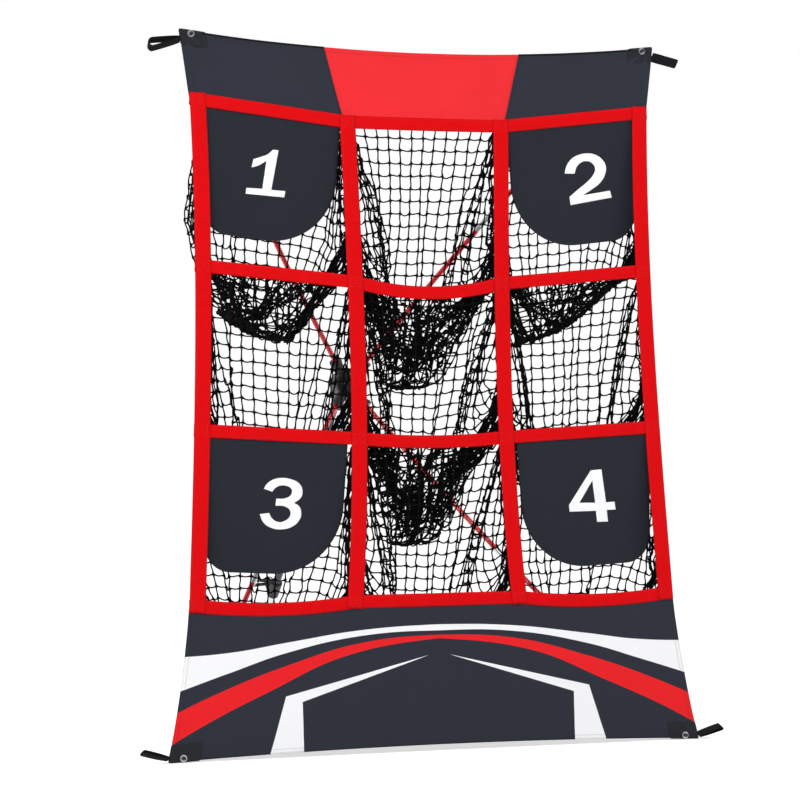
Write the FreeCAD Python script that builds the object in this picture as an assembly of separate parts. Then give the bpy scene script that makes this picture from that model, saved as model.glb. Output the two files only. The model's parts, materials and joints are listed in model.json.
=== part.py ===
import FreeCAD, Part

import math
import os

from FreeCAD import Vector

# A pitching target net that stands by itself. A flat panel of cloth bands and red webbing is
# stretched by four bowed poles that meet in a hub behind it, and a telescopic leg holds the hub up.
# Nine net bags hang behind the webbing, and four numbered flaps cover the corner openings.
# Millimetres. +X is to the right and +Z is up as a pitcher sees the panel, and +Y points behind it.
# The panel is drawn upright, x across, y back and z up along it, and is then leaned back.

# Panel
LEAN_DEG = 4.5
CLOTH_T = 0.8
WEB_T = 1.8
UPRIGHT_WEB_W = 38.0
CROSS_WEB_W = 30.0

# Heights of the four cross webs at the outer uprights, at the inner uprights and in the middle
TOP_WEB_Z = (1496.0, 1454.0, 1453.0)
UPPER_WEB_Z = (1116.0, 1083.0, 1059.0)
LOWER_WEB_Z = (743.0, 722.0, 713.0)
BASE_WEB_Z = (349.0, 349.0, 349.0)
WEB_LEVELS = (TOP_WEB_Z, UPPER_WEB_Z, LOWER_WEB_Z, BASE_WEB_Z)

# How far each cross web hangs down in the middle of its side bays
SIDE_BAY_SAGS = (0.0, 0.0, 0.0, 12.0)
WEB_STATIONS_PER_BAY = 6

# Half distances between the outer and the inner uprights at those four heights
OUTER_WEB_X = (550.0, 546.0, 557.0, 577.0)
INNER_WEB_X = (191.0, 182.0, 182.0, 202.0)

# Cloth bands above and below the webbing
TOP_CORNER_X = 590.0
TOP_BAND_H = 159.0
TOP_CORNER_Z = TOP_WEB_Z[0] + TOP_BAND_H
TOP_EDGE_SAG = 34.0
RED_PANEL_TOP_X = 243.0
RED_PANEL_FOOT_X = 199.0
BOTTOM_CORNER_X = 652.0
BOTTOM_CORNER_Z = 4.0
BOTTOM_SIDE_DRAW = 6.0
BOTTOM_EDGE_RISE = 13.0

# Corners: patch, eyelet, pull loop
TOP_EYELET_IN = 28.0
TOP_EYELET_DROP = 9.0
BOTTOM_EYELET_IN = 35.0
BOTTOM_EYELET_RISE = 8.0
TOP_EYELET_X = TOP_CORNER_X - TOP_EYELET_IN
TOP_EYELET_Z = TOP_CORNER_Z - TOP_EYELET_DROP
BOTTOM_EYELET_X = BOTTOM_CORNER_X - BOTTOM_EYELET_IN
BOTTOM_EYELET_Z = BOTTOM_CORNER_Z + BOTTOM_EYELET_RISE
PATCH_T = 1.2
TOP_PATCH_W = 64.0
TOP_PATCH_H = 37.0
BOTTOM_PATCH_W = 74.0
BOTTOM_PATCH_H = 40.0
PATCH_CORNER_R = 4.0
PATCH_OVERHANG = 1.0
TOP_PATCH_RISE = 3.0
BOTTOM_PATCH_SINK = 2.0
EYELET_BORE_R = 4.8
EYELET_WALL = 1.0
EYELET_FLANGE_R = 8.0
EYELET_FLANGE_T = 0.8
LOOP_W = 25.0
LOOP_T = 1.6
LOOP_END_R = 11.0
LOOP_REACH = 62.0
TOP_LOOP_DROP = 14.0
BOTTOM_LOOP_RISE = 12.0

# Numbered flaps: the inner and outer sides are measured from the middle of the panel
FLAP_T = 1.2
UPPER_FLAP_X = (207.0, 540.0)
LOWER_FLAP_X = (209.0, 551.0)
UPPER_FLAP_DROP = 300.0
LOWER_FLAP_DROP = 318.0
FLAP_INNER_TAPER = 22.0
FLAP_INNER_R = 125.0
FLAP_OUTER_R = 78.0
FLAP_BEHIND_WEB = 0.4
FLAP_SEAM_GAP = 5.0

# Net bags: depths are measured behind the panel, drops below the web that carries the bag
NET_T = 2.5
NET_HOLES_ACROSS = 7
NET_BAR = 8.0
NET_MOUTH_BAND = 12.0
BAG_SIDE_INSET = 2.0
BAG_DEPTH = 205.0
BAG_ROOF_DROP = 1.0
BAG_FLOOR_RISE = 8.0
BAG_SHELF = 8.0
UPPER_BAG_SHOULDERS = ((120.0, 140.0), (75.0, 115.0))
UPPER_BAG_BACK_DROPS = (262.0, 315.0)
LOWER_BAG_SHOULDER = (75.0, 150.0)
LOWER_BAG_BACK = (180.0, 290.0)
BAG_SAGS = ((140.0, 215.0), (135.0, 235.0), (58.0, 58.0))
BAG_TOE = (55.0, 50.0)
BAG_BELLY_LEAN = 0.4
BAG_FOLD_R = 40.0

# A belly's width, as a share of the bag's, at shares of its sag below the web
BELLY_NARROWING = ((1.0, 0.15), (0.84, 0.5), (0.38, 1.0))

# Poles
POLE_R = 6.35
POLE_FIT = 0.05
POLE_BOW_DEG = 8.0
POLE_STRAIGHT_END = 85.0
FERRULE_WALL = 1.3
FERRULE_LENGTH = 100.0
TIP_R = 9.5
TIP_LENGTH = 60.0
TIP_END_WALL = 10.0
TIP_DEPTH = 13.0
TIP_PIN_R = 3.5
TIP_NIB_R = 4.3
TIP_NIB_LENGTH = 6.0
TIP_NIB_GAP = 0.3

# Hub
HUB_DEPTH = 590.0
HUB_Z = 890.0
HUB_R = 38.0
HUB_THICK = 56.0
HUB_ROUND = 6.0
SOCKET_R = 13.5
SOCKET_LENGTH = 75.0
SOCKET_FLOOR = 22.0
SOCKET_LIP_R = 15.5
SOCKET_LIP_LENGTH = 8.0
HUB_CAP_R = 28.0
HUB_CAP_T = 4.0
HUB_SCREW_COUNT = 4
HUB_SCREW_PITCH_R = 22.0
HUB_SCREW_R = 2.0
HUB_SCREW_LENGTH = 14.0
HUB_SCREW_HEAD_R = 4.0
HUB_SCREW_HEAD_T = 2.2
SCREW_FIT = 0.05

# Leg: measured down from its pivot, then swung back
LEG_SWING_DEG = 45.0
PIVOT_BEHIND_HUB = 26.0
PIVOT_BELOW_HUB = 10.0
PIVOT_PIN_R = 4.0
PIVOT_PIN_HEAD_R = 7.0
PIVOT_PIN_HEAD_T = 3.0
PIN_FIT = 0.05
EAR_GAP = 16.0
EAR_T = 6.0
EAR_R = 13.0
EAR_REACH = 26.0
NECK_W = 15.4
NECK_DEPTH = 16.0
NECK_LENGTH = 30.0
STOP_GAP = 0.3
STOP_T = 6.0
STOP_TOP = 14.0
COLLAR_T = 8.0
LEG_TUBE_R = 10.0
LEG_TUBE_WALL = 1.3
LEG_TUBE_LENGTH = 720.0
KNUCKLE_PLUG_LENGTH = 45.0
SLIDER_R = 8.2
SLIDER_WALL = 1.2
SLIDER_OVERLAP = 170.0
SLIDE_FIT = 0.1

# Clamp between the two tubes, with its loop lever
CLAMP_R = 16.0
CLAMP_CHAMFER = 1.5
CLAMP_ON_TUBE = 26.0
CLAMP_BELOW_TUBE = 24.0
CLAMP_SLIT = 2.0
LUG_T = 5.0
LUG_R = 7.5
LEVER_KNUCKLE_R = 7.0
LEVER_KNUCKLE_H = 18.0
LEVER_SIDE_GAP = 0.3
LEVER_PIN_R = 2.5
LEVER_PIN_X = -10.0
LEVER_PIN_Y = 22.0
LEVER_PIN_HEAD_R = 4.2
LEVER_PIN_HEAD_T = 1.5
LOOP_LEVER_LENGTH = 52.0
LOOP_LEVER_H = 30.0
LOOP_LEVER_T = 7.0
LOOP_LEVER_RIM = 7.0

# Foot of the leg
FOOT_R = 13.5
FOOT_LENGTH = 46.0
FOOT_END_WALL = 12.0
FOOT_PAD_R = 28.0
FOOT_PAD_T = 7.0
FOOT_TAB_W = 26.0
FOOT_TAB_REACH = 46.0
STAKE_HOLE_R = 4.5

BACK = Vector(0, 1, 0)
ACROSS = Vector(1, 0, 0)
UP = Vector(0, 0, 1)
ORIGIN = Vector(0, 0, 0)
TOUCH = 0.01
SIDES = {"left": -1, "right": 1}


def polygon(points):
    """A flat face through the points."""
    return Part.Face(Part.makePolygon(list(points) + [points[0]]))


def box(x, y, z):
    """A box from three (low, high) pairs."""
    return Part.makeBox(x[1] - x[0], y[1] - y[0], z[1] - z[0], Vector(x[0], y[0], z[0]))


def slab(face, front, thickness):
    """A flat piece of cloth: a face in the plane of the panel, from front to front + thickness."""
    moved = face.copy()
    moved.translate(BACK * front)
    return moved.extrude(BACK * thickness)


def mirrored(shape, side):
    """The shape as drawn for the right side, mirrored when the side is the left one."""
    return shape if side > 0 else shape.mirror(ORIGIN, ACROSS)


def fused(shapes):
    solid = shapes[0]
    for other in shapes[1:]:
        solid = solid.fuse(other)
    return solid.removeSplitter()


def annulus(radius, bore, length, base, axis):
    outer = Part.makeCylinder(radius, length, base, axis)
    inner = Part.makeCylinder(bore, length, base, axis)
    return outer.cut(inner)


def rounded_wire(points, radii):
    """A closed outline in the points' plane whose corners are rounded by tangent arcs."""
    edges = []
    last = None
    first = None
    count = len(points)
    for i, corner in enumerate(points):
        before = (points[i - 1] - corner).normalize()
        after = (points[(i + 1) % count] - corner).normalize()
        radius = radii[i]
        if radius > 0:
            half = before.getAngle(after) / 2
            along = radius / math.tan(half)
            start = corner + before * along
            end = corner + after * along
            middle_dir = (before + after).normalize()
            middle = corner + middle_dir * (radius / math.sin(half) - radius)
            arc = Part.Arc(start, middle, end).toShape()
        else:
            start = end = corner
            arc = None
        if last is None:
            first = start
        else:
            edges.append(Part.LineSegment(last, start).toShape())
        if arc is not None:
            edges.append(arc)
        last = end
    edges.append(Part.LineSegment(last, first).toShape())
    return Part.Wire(edges)


def cross_web_height(level, x):
    """The middle height of a cross web at a distance from the middle of the panel."""
    outer_z, inner_z, middle_z = WEB_LEVELS[level]
    outer_x, inner_x = OUTER_WEB_X[level], INNER_WEB_X[level]
    x = abs(x)
    if x <= inner_x:
        return middle_z + (inner_z - middle_z) * (x / inner_x) ** 2
    share = (x - inner_x) / (outer_x - inner_x)
    hang = SIDE_BAY_SAGS[level] * 4 * share * max(0.0, 1 - share)
    return inner_z + (outer_z - inner_z) * share - hang


def spread(low, high, count):
    """Evenly spaced numbers from low to high, count steps apart."""
    return [low + (high - low) * i / count for i in range(count + 1)]


def cross_web(level):
    """One horizontal red web, 30 mm wide, behind the uprights."""
    outer_z, inner_z, middle_z = WEB_LEVELS[level]
    inner_x, outer_x = INNER_WEB_X[level], OUTER_WEB_X[level]
    end_x = outer_x + UPRIGHT_WEB_W / 2
    side_steps = WEB_STATIONS_PER_BAY if SIDE_BAY_SAGS[level] else 1
    side_bay = spread(inner_x, outer_x, side_steps) + [end_x]
    middle_bay = spread(-inner_x, inner_x, WEB_STATIONS_PER_BAY if inner_z > middle_z else 1)
    stations = [-x for x in side_bay[::-1]] + middle_bay[1:-1] + side_bay
    heights = [cross_web_height(level, x) for x in stations]
    half = CROSS_WEB_W / 2
    upper = [Vector(x, 0, z + half) for x, z in zip(stations, heights)]
    lower = [Vector(x, 0, z - half) for x, z in zip(stations, heights)]
    return slab(polygon(upper + lower[::-1]), -WEB_T, WEB_T)


def upright_web(side, distances):
    """One vertical red web, 38 mm wide, in front of the cross webs."""
    heights = [cross_web_height(i, distances[i]) for i in range(len(WEB_LEVELS))]
    heights[0] += CROSS_WEB_W / 2
    heights[-1] -= CROSS_WEB_W / 2
    half = UPRIGHT_WEB_W / 2
    inner = [Vector(side * x - half, 0, z) for x, z in zip(distances, heights)]
    outer = [Vector(side * x + half, 0, z) for x, z in zip(distances, heights)]
    return slab(polygon(inner + outer[::-1]), -2 * WEB_T, WEB_T)


def top_edge_arc(x):
    """Height of the hollow top edge at x, on the circle through both corners and the middle."""
    radius = (TOP_CORNER_X**2 + TOP_EDGE_SAG**2) / (2 * TOP_EDGE_SAG)
    return TOP_CORNER_Z - TOP_EDGE_SAG + radius - math.sqrt(radius**2 - x**2)


def top_arc_edge(x_from, x_to):
    mid = (x_from + x_to) / 2
    points = [Vector(x, 0, top_edge_arc(x)) for x in (x_from, mid, x_to)]
    return Part.Arc(*points).toShape()


def line(a, b):
    return Part.LineSegment(a, b).toShape()


def top_cloth(side):
    """The dark cloth left or right of the red one, down to the middle of the top web."""
    outer_x = OUTER_WEB_X[0] + UPRIGHT_WEB_W / 2
    corner = Vector(TOP_CORNER_X, 0, TOP_CORNER_Z)
    side_foot = Vector(outer_x, 0, cross_web_height(0, outer_x))
    knee = Vector(RED_PANEL_FOOT_X, 0, cross_web_height(0, RED_PANEL_FOOT_X))
    shoulder = Vector(RED_PANEL_TOP_X, 0, top_edge_arc(RED_PANEL_TOP_X))
    edges = [
        line(corner, side_foot),
        line(side_foot, knee),
        line(knee, shoulder),
        top_arc_edge(RED_PANEL_TOP_X, TOP_CORNER_X),
    ]
    cloth = slab(Part.Face(Part.Wire(edges)), 0.0, CLOTH_T)
    cloth = cloth.cut(eyelet_hole(TOP_EYELET_X, TOP_EYELET_Z))
    return mirrored(cloth, side)


def top_red_panel():
    """The red trapezoid between the two dark cloths, left bare."""
    foot_z = cross_web_height(0, RED_PANEL_FOOT_X)
    right_foot = Vector(RED_PANEL_FOOT_X, 0, foot_z)
    right_web = Vector(INNER_WEB_X[0], 0, TOP_WEB_Z[1])
    middle_web = Vector(0, 0, TOP_WEB_Z[2])
    left_web = Vector(-INNER_WEB_X[0], 0, TOP_WEB_Z[1])
    left_foot = Vector(-RED_PANEL_FOOT_X, 0, foot_z)
    left_top = Vector(-RED_PANEL_TOP_X, 0, top_edge_arc(RED_PANEL_TOP_X))
    right_top = Vector(RED_PANEL_TOP_X, 0, top_edge_arc(RED_PANEL_TOP_X))
    corners = [right_top, right_foot, right_web, middle_web, left_web, left_foot, left_top]
    edges = [line(a, b) for a, b in zip(corners, corners[1:])]
    edges.append(top_arc_edge(-RED_PANEL_TOP_X, RED_PANEL_TOP_X))
    return slab(Part.Face(Part.Wire(edges)), 0.0, CLOTH_T)


def bottom_cloth():
    """The wide band under the webbing, with drawn-in sides and a hollow lower edge."""
    top_x = OUTER_WEB_X[3] + UPRIGHT_WEB_W / 2
    top_z = BASE_WEB_Z[0]
    mid_z = (top_z + BOTTOM_CORNER_Z) / 2
    mid_x = (top_x + BOTTOM_CORNER_X) / 2 - BOTTOM_SIDE_DRAW
    corners = {s: Vector(s * BOTTOM_CORNER_X, 0, BOTTOM_CORNER_Z) for s in (-1, 1)}
    heads = {s: Vector(s * top_x, 0, top_z) for s in (-1, 1)}
    middle = Vector(0, 0, BOTTOM_CORNER_Z + BOTTOM_EDGE_RISE)
    edges = [
        line(heads[-1], heads[1]),
        Part.Arc(heads[1], Vector(mid_x, 0, mid_z), corners[1]).toShape(),
        Part.Arc(corners[1], middle, corners[-1]).toShape(),
        Part.Arc(corners[-1], Vector(-mid_x, 0, mid_z), heads[-1]).toShape(),
    ]
    cloth = slab(Part.Face(Part.Wire(edges)), 0.0, CLOTH_T)
    for side in SIDES.values():
        cloth = cloth.cut(eyelet_hole(side * BOTTOM_EYELET_X, BOTTOM_EYELET_Z))
    return cloth


def eyelet_hole(x, z):
    """The hole that an eyelet's barrel fills, through cloth and patch."""
    length = 4 * (CLOTH_T + PATCH_T)
    return Part.makeCylinder(EYELET_BORE_R + EYELET_WALL, length, Vector(x, -length / 2, z), BACK)


def top_side_x(z):
    """How far out the straight side of the top band is at a height."""
    foot_x = OUTER_WEB_X[0] + UPRIGHT_WEB_W / 2
    return foot_x + (TOP_CORNER_X - foot_x) * (z - TOP_WEB_Z[0]) / TOP_BAND_H


def bottom_side_x(z):
    """How far out the drawn-in side of the bottom band is at a height."""
    head_x = OUTER_WEB_X[3] + UPRIGHT_WEB_W / 2
    share = (BASE_WEB_Z[0] - z) / (BASE_WEB_Z[0] - BOTTOM_CORNER_Z)
    return head_x + (BOTTOM_CORNER_X - head_x) * share - BOTTOM_SIDE_DRAW * 4 * share * (1 - share)


def bottom_edge_z(x):
    """Height of the bottom band's hollow lower edge."""
    return BOTTOM_CORNER_Z + BOTTOM_EDGE_RISE * (1 - (x / BOTTOM_CORNER_X) ** 2)


def patch_corners(top):
    """The four corners of a right-hand patch, along the two edges that meet in the corner."""
    if top:
        corner = Vector(TOP_CORNER_X, 0, TOP_CORNER_Z)
        x, z = TOP_CORNER_X - TOP_PATCH_W, TOP_CORNER_Z - TOP_PATCH_H
        along_edge = Vector(x, 0, top_edge_arc(x)) - corner
        along_side = Vector(top_side_x(z), 0, z) - corner
        far = corner + Vector(PATCH_OVERHANG, 0, TOP_PATCH_RISE)
    else:
        corner = Vector(BOTTOM_CORNER_X, 0, BOTTOM_CORNER_Z)
        x, z = BOTTOM_CORNER_X - BOTTOM_PATCH_W, BOTTOM_CORNER_Z + BOTTOM_PATCH_H
        along_edge = Vector(x, 0, bottom_edge_z(x)) - corner
        along_side = Vector(bottom_side_x(z), 0, z) - corner
        far = corner + Vector(PATCH_OVERHANG, 0, -BOTTOM_PATCH_SINK)
    return [far, far + along_edge, far + along_edge + along_side, far + along_side]


def corner_patch(side, top):
    """Two reinforcing plies on a corner, in front of the cloth and behind it."""
    eyelet_x = TOP_EYELET_X if top else BOTTOM_EYELET_X
    eyelet_z = TOP_EYELET_Z if top else BOTTOM_EYELET_Z
    points = patch_corners(top)
    face = Part.Face(rounded_wire(points, [PATCH_CORNER_R] * len(points)))
    hole = eyelet_hole(eyelet_x, eyelet_z)
    plies = [slab(face, front, PATCH_T).cut(hole) for front in (-PATCH_T, CLOTH_T)]
    return Part.makeCompound([mirrored(ply, side) for ply in plies])


def eyelet(side, x, z):
    """A metal eyelet: a barrel through all plies with a flange on each face."""
    front = -PATCH_T - EYELET_FLANGE_T
    length = CLOTH_T + 2 * PATCH_T + 2 * EYELET_FLANGE_T
    centre = Vector(side * x, front, z)
    barrel = Part.makeCylinder(EYELET_BORE_R + EYELET_WALL, length, centre, BACK)
    flanges = [
        Part.makeCylinder(EYELET_FLANGE_R, EYELET_FLANGE_T, centre + BACK * start, BACK)
        for start in (0.0, length - EYELET_FLANGE_T)
    ]
    bore = Part.makeCylinder(EYELET_BORE_R, length, centre, BACK)
    return fused([barrel] + flanges).cut(bore)


def teardrop(root, end, radius):
    """A face: two tangents from a point to a round end."""
    span = end - root
    reach = span.Length
    tilt = math.acos(radius / reach)
    axis_angle = math.atan2(span.z, span.x)
    touch = []
    for sign in (1, -1):
        angle = axis_angle + math.pi + sign * tilt
        touch.append(end + Vector(math.cos(angle), 0, math.sin(angle)) * radius)
    far = end + span.normalize() * radius
    edges = [line(root, touch[0]), Part.Arc(touch[0], far, touch[1]).toShape(), line(touch[1], root)]
    return Part.Face(Part.Wire(edges))


def pull_loop(side, top):
    """A teardrop of webbing that stands out of a corner, on edge."""
    if top:
        height = TOP_EYELET_Z - LOOP_END_R
        root = Vector(top_side_x(height) + PATCH_OVERHANG, 0, height)
        end = root + Vector(LOOP_REACH, 0, -TOP_LOOP_DROP)
    else:
        height = BOTTOM_EYELET_Z
        root = Vector(bottom_side_x(height) + PATCH_OVERHANG, 0, height)
        end = root + Vector(LOOP_REACH - LOOP_END_R, 0, BOTTOM_LOOP_RISE)
    outside = teardrop(root, end, LOOP_END_R)
    direction = (end - root).normalize()
    inset = LOOP_T * (end - root).Length / LOOP_END_R
    inside = teardrop(root + direction * inset, end, LOOP_END_R - LOOP_T)
    loop = slab(outside, -LOOP_W / 2, LOOP_W).cut(slab(inside, -LOOP_W / 2, LOOP_W))
    return mirrored(loop, side)


def flap_hinge(side, level):
    """A point on a flap's seam and the seam's direction, pointing to +X."""
    x_in, x_out = UPPER_FLAP_X if level == 0 else LOWER_FLAP_X
    depth = FLAP_BEHIND_WEB + FLAP_T / 2
    ends = [
        Vector(side * x, depth, cross_web_height(level, x) - FLAP_SEAM_GAP) for x in (x_in, x_out)
    ]
    direction = (ends[1] - ends[0]).normalize() * side
    return ends[0], direction


def flap(side, level):
    """A dark flap with a rounded foot, sewn along its top edge and hanging plumb."""
    x_in, x_out = UPPER_FLAP_X if level == 0 else LOWER_FLAP_X
    drop = UPPER_FLAP_DROP if level == 0 else LOWER_FLAP_DROP
    top_in = cross_web_height(level, x_in) - FLAP_SEAM_GAP
    top_out = cross_web_height(level, x_out) - FLAP_SEAM_GAP
    foot_z = (top_in + top_out) / 2 - drop
    points = [
        Vector(side * x_in, 0, top_in),
        Vector(side * (x_in + FLAP_INNER_TAPER), 0, foot_z),
        Vector(side * x_out, 0, foot_z),
        Vector(side * x_out, 0, top_out),
    ]
    face = Part.Face(rounded_wire(points, [0, FLAP_INNER_R, FLAP_OUTER_R, 0]))
    cloth = slab(face, FLAP_BEHIND_WEB, FLAP_T)
    point, direction = flap_hinge(side, level)
    cloth.rotate(point, direction, LEAN_DEG)
    return cloth


def bag_outline(row, middle, sag, front, reach_down):
    """The side view of a bag, with its mouth at depth front. z is 0 at the web above it."""
    toe_depth, toe_drop = BAG_TOE
    foot = -reach_down
    points = [Vector(0, front, -BAG_ROOF_DROP), Vector(0, BAG_SHELF, -BAG_ROOF_DROP)]
    radii = [0, 0]
    if row == 0:
        shoulder_depth, shoulder_drop = UPPER_BAG_SHOULDERS[middle]
        points.append(Vector(0, shoulder_depth, -shoulder_drop))
        points.append(Vector(0, BAG_DEPTH, -UPPER_BAG_BACK_DROPS[middle]))
        back = BAG_DEPTH
    else:
        points.append(Vector(0, LOWER_BAG_SHOULDER[0], -LOWER_BAG_SHOULDER[1]))
        points.append(Vector(0, LOWER_BAG_BACK[0], -LOWER_BAG_BACK[1]))
        back = LOWER_BAG_BACK[0] if row == 2 else BAG_DEPTH
    radii += [BAG_FOLD_R, BAG_FOLD_R]
    points.append(Vector(0, back, foot - sag))
    points.append(Vector(0, toe_depth + BAG_BELLY_LEAN * sag, foot - sag))
    points.append(Vector(0, toe_depth, foot - min(toe_drop, sag / 2)))
    radii += [BAG_FOLD_R, BAG_FOLD_R / 2, 0]
    floor = foot + BAG_FLOOR_RISE
    points += [Vector(0, BAG_SHELF, floor), Vector(0, front, floor)]
    radii += [0, 0]
    return Part.Face(rounded_wire(points, radii))


def bag_front(x_low, x_high, foot_z, slope, sag, wall):
    """The front view of a bag: it narrows towards the belly's foot."""
    middle = (x_low + x_high) / 2
    half = (x_high - x_low) / 2
    right = [(half - wall, TOP_CORNER_Z)]
    right += [(half * width - wall, foot_z - sag * share + wall) for width, share in BELLY_NARROWING]
    points = [Vector(middle + x, 0, z + slope * x) for x, z in right]
    points += [Vector(middle - x, 0, z - slope * x) for x, z in right[::-1]]
    return polygon(points)


def belly_prism(*front_sizes):
    """The front view of a bag, drawn through its depth."""
    prism = bag_front(*front_sizes)
    prism.translate(BACK * (-BAG_DEPTH))
    return prism.extrude(BACK * (3 * BAG_DEPTH))


def grid_cells(corner, along, down, region):
    """The openings of a plain grid that lie wholly inside a region. The steps go from bar to bar."""
    open_along = along * (1 - NET_BAR / along.Length)
    open_down = down * (1 - NET_BAR / down.Length)
    reach = region.BoundBox.DiagonalLength
    cells = []
    for i in range(int(reach / along.Length)):
        for j in range(int(reach / down.Length)):
            start = corner + along * i + down * j
            cell = [start, start + open_along, start + open_along + open_down, start + open_down]
            if all(region.distToShape(Part.Vertex(point))[0] < TOUCH for point in cell):
                cells.append(cell)
    return cells


def pierced(shell, cells, start, sweep):
    """The shell with each cell cut through it, from start along the sweep."""
    cutters = []
    for cell in cells:
        cutters.append(polygon([point + start for point in cell]).extrude(sweep))
    return shell.cut(cutters)


def net_bag(row, column):
    """A net bag behind one opening: a side view drawn along the web, hollow and open in front."""
    if column == 1:
        x_high = (INNER_WEB_X[row] + INNER_WEB_X[row + 1]) / 2 - BAG_SIDE_INSET * 2
        x_low = -x_high
        tops, feet = [[sum(WEB_LEVELS[level][1:]) / 2] * 2 for level in (row, row + 1)]
        sag = BAG_SAGS[row][1]
    else:
        inner = (INNER_WEB_X[row] + INNER_WEB_X[row + 1]) / 2 + BAG_SIDE_INSET * 2
        outer = (OUTER_WEB_X[row] + OUTER_WEB_X[row + 1]) / 2 - BAG_SIDE_INSET
        x_low, x_high = (-outer, -inner) if column == 0 else (inner, outer)
        tops = [cross_web_height(row, x) for x in (x_low, x_high)]
        feet = [cross_web_height(row + 1, x) for x in (x_low, x_high)]
        sag = BAG_SAGS[row][0]
    reach_down = (tops[0] + tops[1]) / 2 - (feet[0] + feet[1]) / 2
    width = x_high - x_low
    slope = (tops[1] - tops[0]) / width
    start_z = tops[0]
    middle = 1 if column == 1 else 0
    whole = bag_outline(row, middle, sag, CLOTH_T - 1.0, reach_down)
    hollow = bag_outline(row, middle, sag, CLOTH_T - NET_T - 2.0, reach_down).makeOffset2D(-NET_T)
    whole.translate(Vector(x_low, 0, start_z))
    outside = whole.extrude(Vector(width, 0, slope * width))
    side_view = whole.makeOffset2D(-NET_T - NET_BAR)
    hollow.translate(Vector(x_low + NET_T, 0, start_z + slope * NET_T))
    inner_width = width - 2 * NET_T
    inside = hollow.extrude(Vector(inner_width, 0, slope * inner_width))
    foot_z = (feet[0] + feet[1]) / 2
    outside = outside.common(belly_prism(x_low, x_high, foot_z, slope, sag + 1.0, 0.0))
    inside = inside.common(belly_prism(x_low, x_high, foot_z, slope, sag + 1.0, NET_T))
    shell = outside.cut(inside)
    in_front = box((x_low - 10, x_high + 10), (CLOTH_T - 60, CLOTH_T), (0, TOP_CORNER_Z))
    shell = shell.cut(in_front)

    pitch = (width - NET_BAR) / NET_HOLES_ACROSS
    level = Vector(pitch, 0, slope * pitch)
    down = UP * (-pitch)
    front_view = bag_front(x_low, x_high, foot_z, slope, sag, NET_T + NET_BAR / 2)
    first = Vector(x_low + NET_BAR, 0, start_z + slope * NET_BAR - NET_MOUTH_BAND)
    cells = grid_cells(first, level, down, front_view)
    shell = pierced(shell, cells, BACK * NET_MOUTH_BAND, BACK * BAG_DEPTH)
    first = Vector(x_low, NET_MOUTH_BAND, start_z - NET_MOUTH_BAND)
    cells = grid_cells(first, BACK * pitch, down, side_view)
    out = level * (NET_BAR / pitch)
    return pierced(shell, cells, -out, level * (width / pitch) + out * 2)


def tip_centre(side, top):
    """The middle of a pole's rounded tip, behind its eyelet."""
    x, z = (TOP_EYELET_X, TOP_EYELET_Z) if top else (BOTTOM_EYELET_X, BOTTOM_EYELET_Z)
    return Vector(side * x, TIP_DEPTH, z)


class PolePath:
    """The line of a bowed pole: straight out of the hub, an arc, and straight into its tip."""

    def __init__(self, side, top):
        hub = Vector(0, HUB_DEPTH, HUB_Z)
        tip = tip_centre(side, top)
        chord = tip - hub
        half_chord = chord.Length / 2
        chord.normalize()
        bow = (BACK - chord * chord.dot(BACK)).normalize()
        turn = math.radians(POLE_BOW_DEG)
        self.hub = hub
        self.tip = tip
        self.hub_dir = chord * math.cos(turn) + bow * math.sin(turn)
        self.tip_dir = chord * math.cos(turn) - bow * math.sin(turn)
        self.radius = (half_chord - POLE_STRAIGHT_END * math.cos(turn)) / math.sin(turn)
        self.arc_start = hub + self.hub_dir * POLE_STRAIGHT_END
        outwards = bow * math.cos(turn) - chord * math.sin(turn)
        self.centre = self.arc_start - outwards * self.radius
        self.axis = bow.cross(chord)
        self.arc_length = 2 * turn * self.radius
        self.length = self.arc_length + 2 * POLE_STRAIGHT_END

    def rod(self, begin, end, radius):
        """A round rod along the path, between two lengths measured from the hub."""
        pieces = []
        first, second = POLE_STRAIGHT_END, POLE_STRAIGHT_END + self.arc_length
        if begin < first:
            base = self.hub + self.hub_dir * begin
            pieces.append(Part.makeCylinder(radius, min(end, first) - begin, base, self.hub_dir))
        low, high = max(begin, first), min(end, second)
        if high > low:
            section = Part.Face(Part.Wire(Part.makeCircle(radius, self.arc_start, self.hub_dir)))
            section.rotate(self.centre, self.axis, math.degrees((low - first) / self.radius))
            swing = math.degrees((high - low) / self.radius)
            pieces.append(section.revolve(self.centre, self.axis, swing))
        if end > second:
            start = max(begin, second)
            base = self.tip - self.tip_dir * (self.length - start)
            pieces.append(Part.makeCylinder(radius, end - start, base, self.tip_dir))
        return pieces[0] if len(pieces) == 1 else fused(pieces)


def pole_halves(path):
    """The two rods of a pole, which meet end to end inside the ferrule."""
    middle = path.length / 2
    hub_half = path.rod(SOCKET_FLOOR, middle, POLE_R)
    tip_half = path.rod(middle, path.length - TIP_END_WALL, POLE_R)
    return hub_half, tip_half


def pole_ferrule(path):
    """The metal sleeve that joins a pole's two rods."""
    begin = path.length / 2 - FERRULE_LENGTH / 2
    end = begin + FERRULE_LENGTH
    bore = POLE_R + POLE_FIT
    return path.rod(begin, end, bore + FERRULE_WALL).cut(path.rod(begin, end, bore))


def pole_tip(path):
    """The plastic tip of a pole: a round-ended sleeve with a pin through the eyelet."""
    sleeve = path.rod(path.length - TIP_LENGTH, path.length, TIP_R)
    dome = Part.makeSphere(TIP_R, path.tip)
    nib_back = -PATCH_T - EYELET_FLANGE_T - TIP_NIB_GAP
    pin = Part.makeCylinder(TIP_PIN_R, TIP_DEPTH - nib_back, path.tip, -BACK)
    nib_base = Vector(path.tip.x, nib_back, path.tip.z)
    nib = Part.makeCylinder(TIP_NIB_R, TIP_NIB_LENGTH, nib_base, -BACK)
    bore = path.rod(path.length - TIP_LENGTH, path.length - TIP_END_WALL, POLE_R + POLE_FIT)
    return fused([sleeve, dome, pin, nib]).cut(bore)


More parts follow.
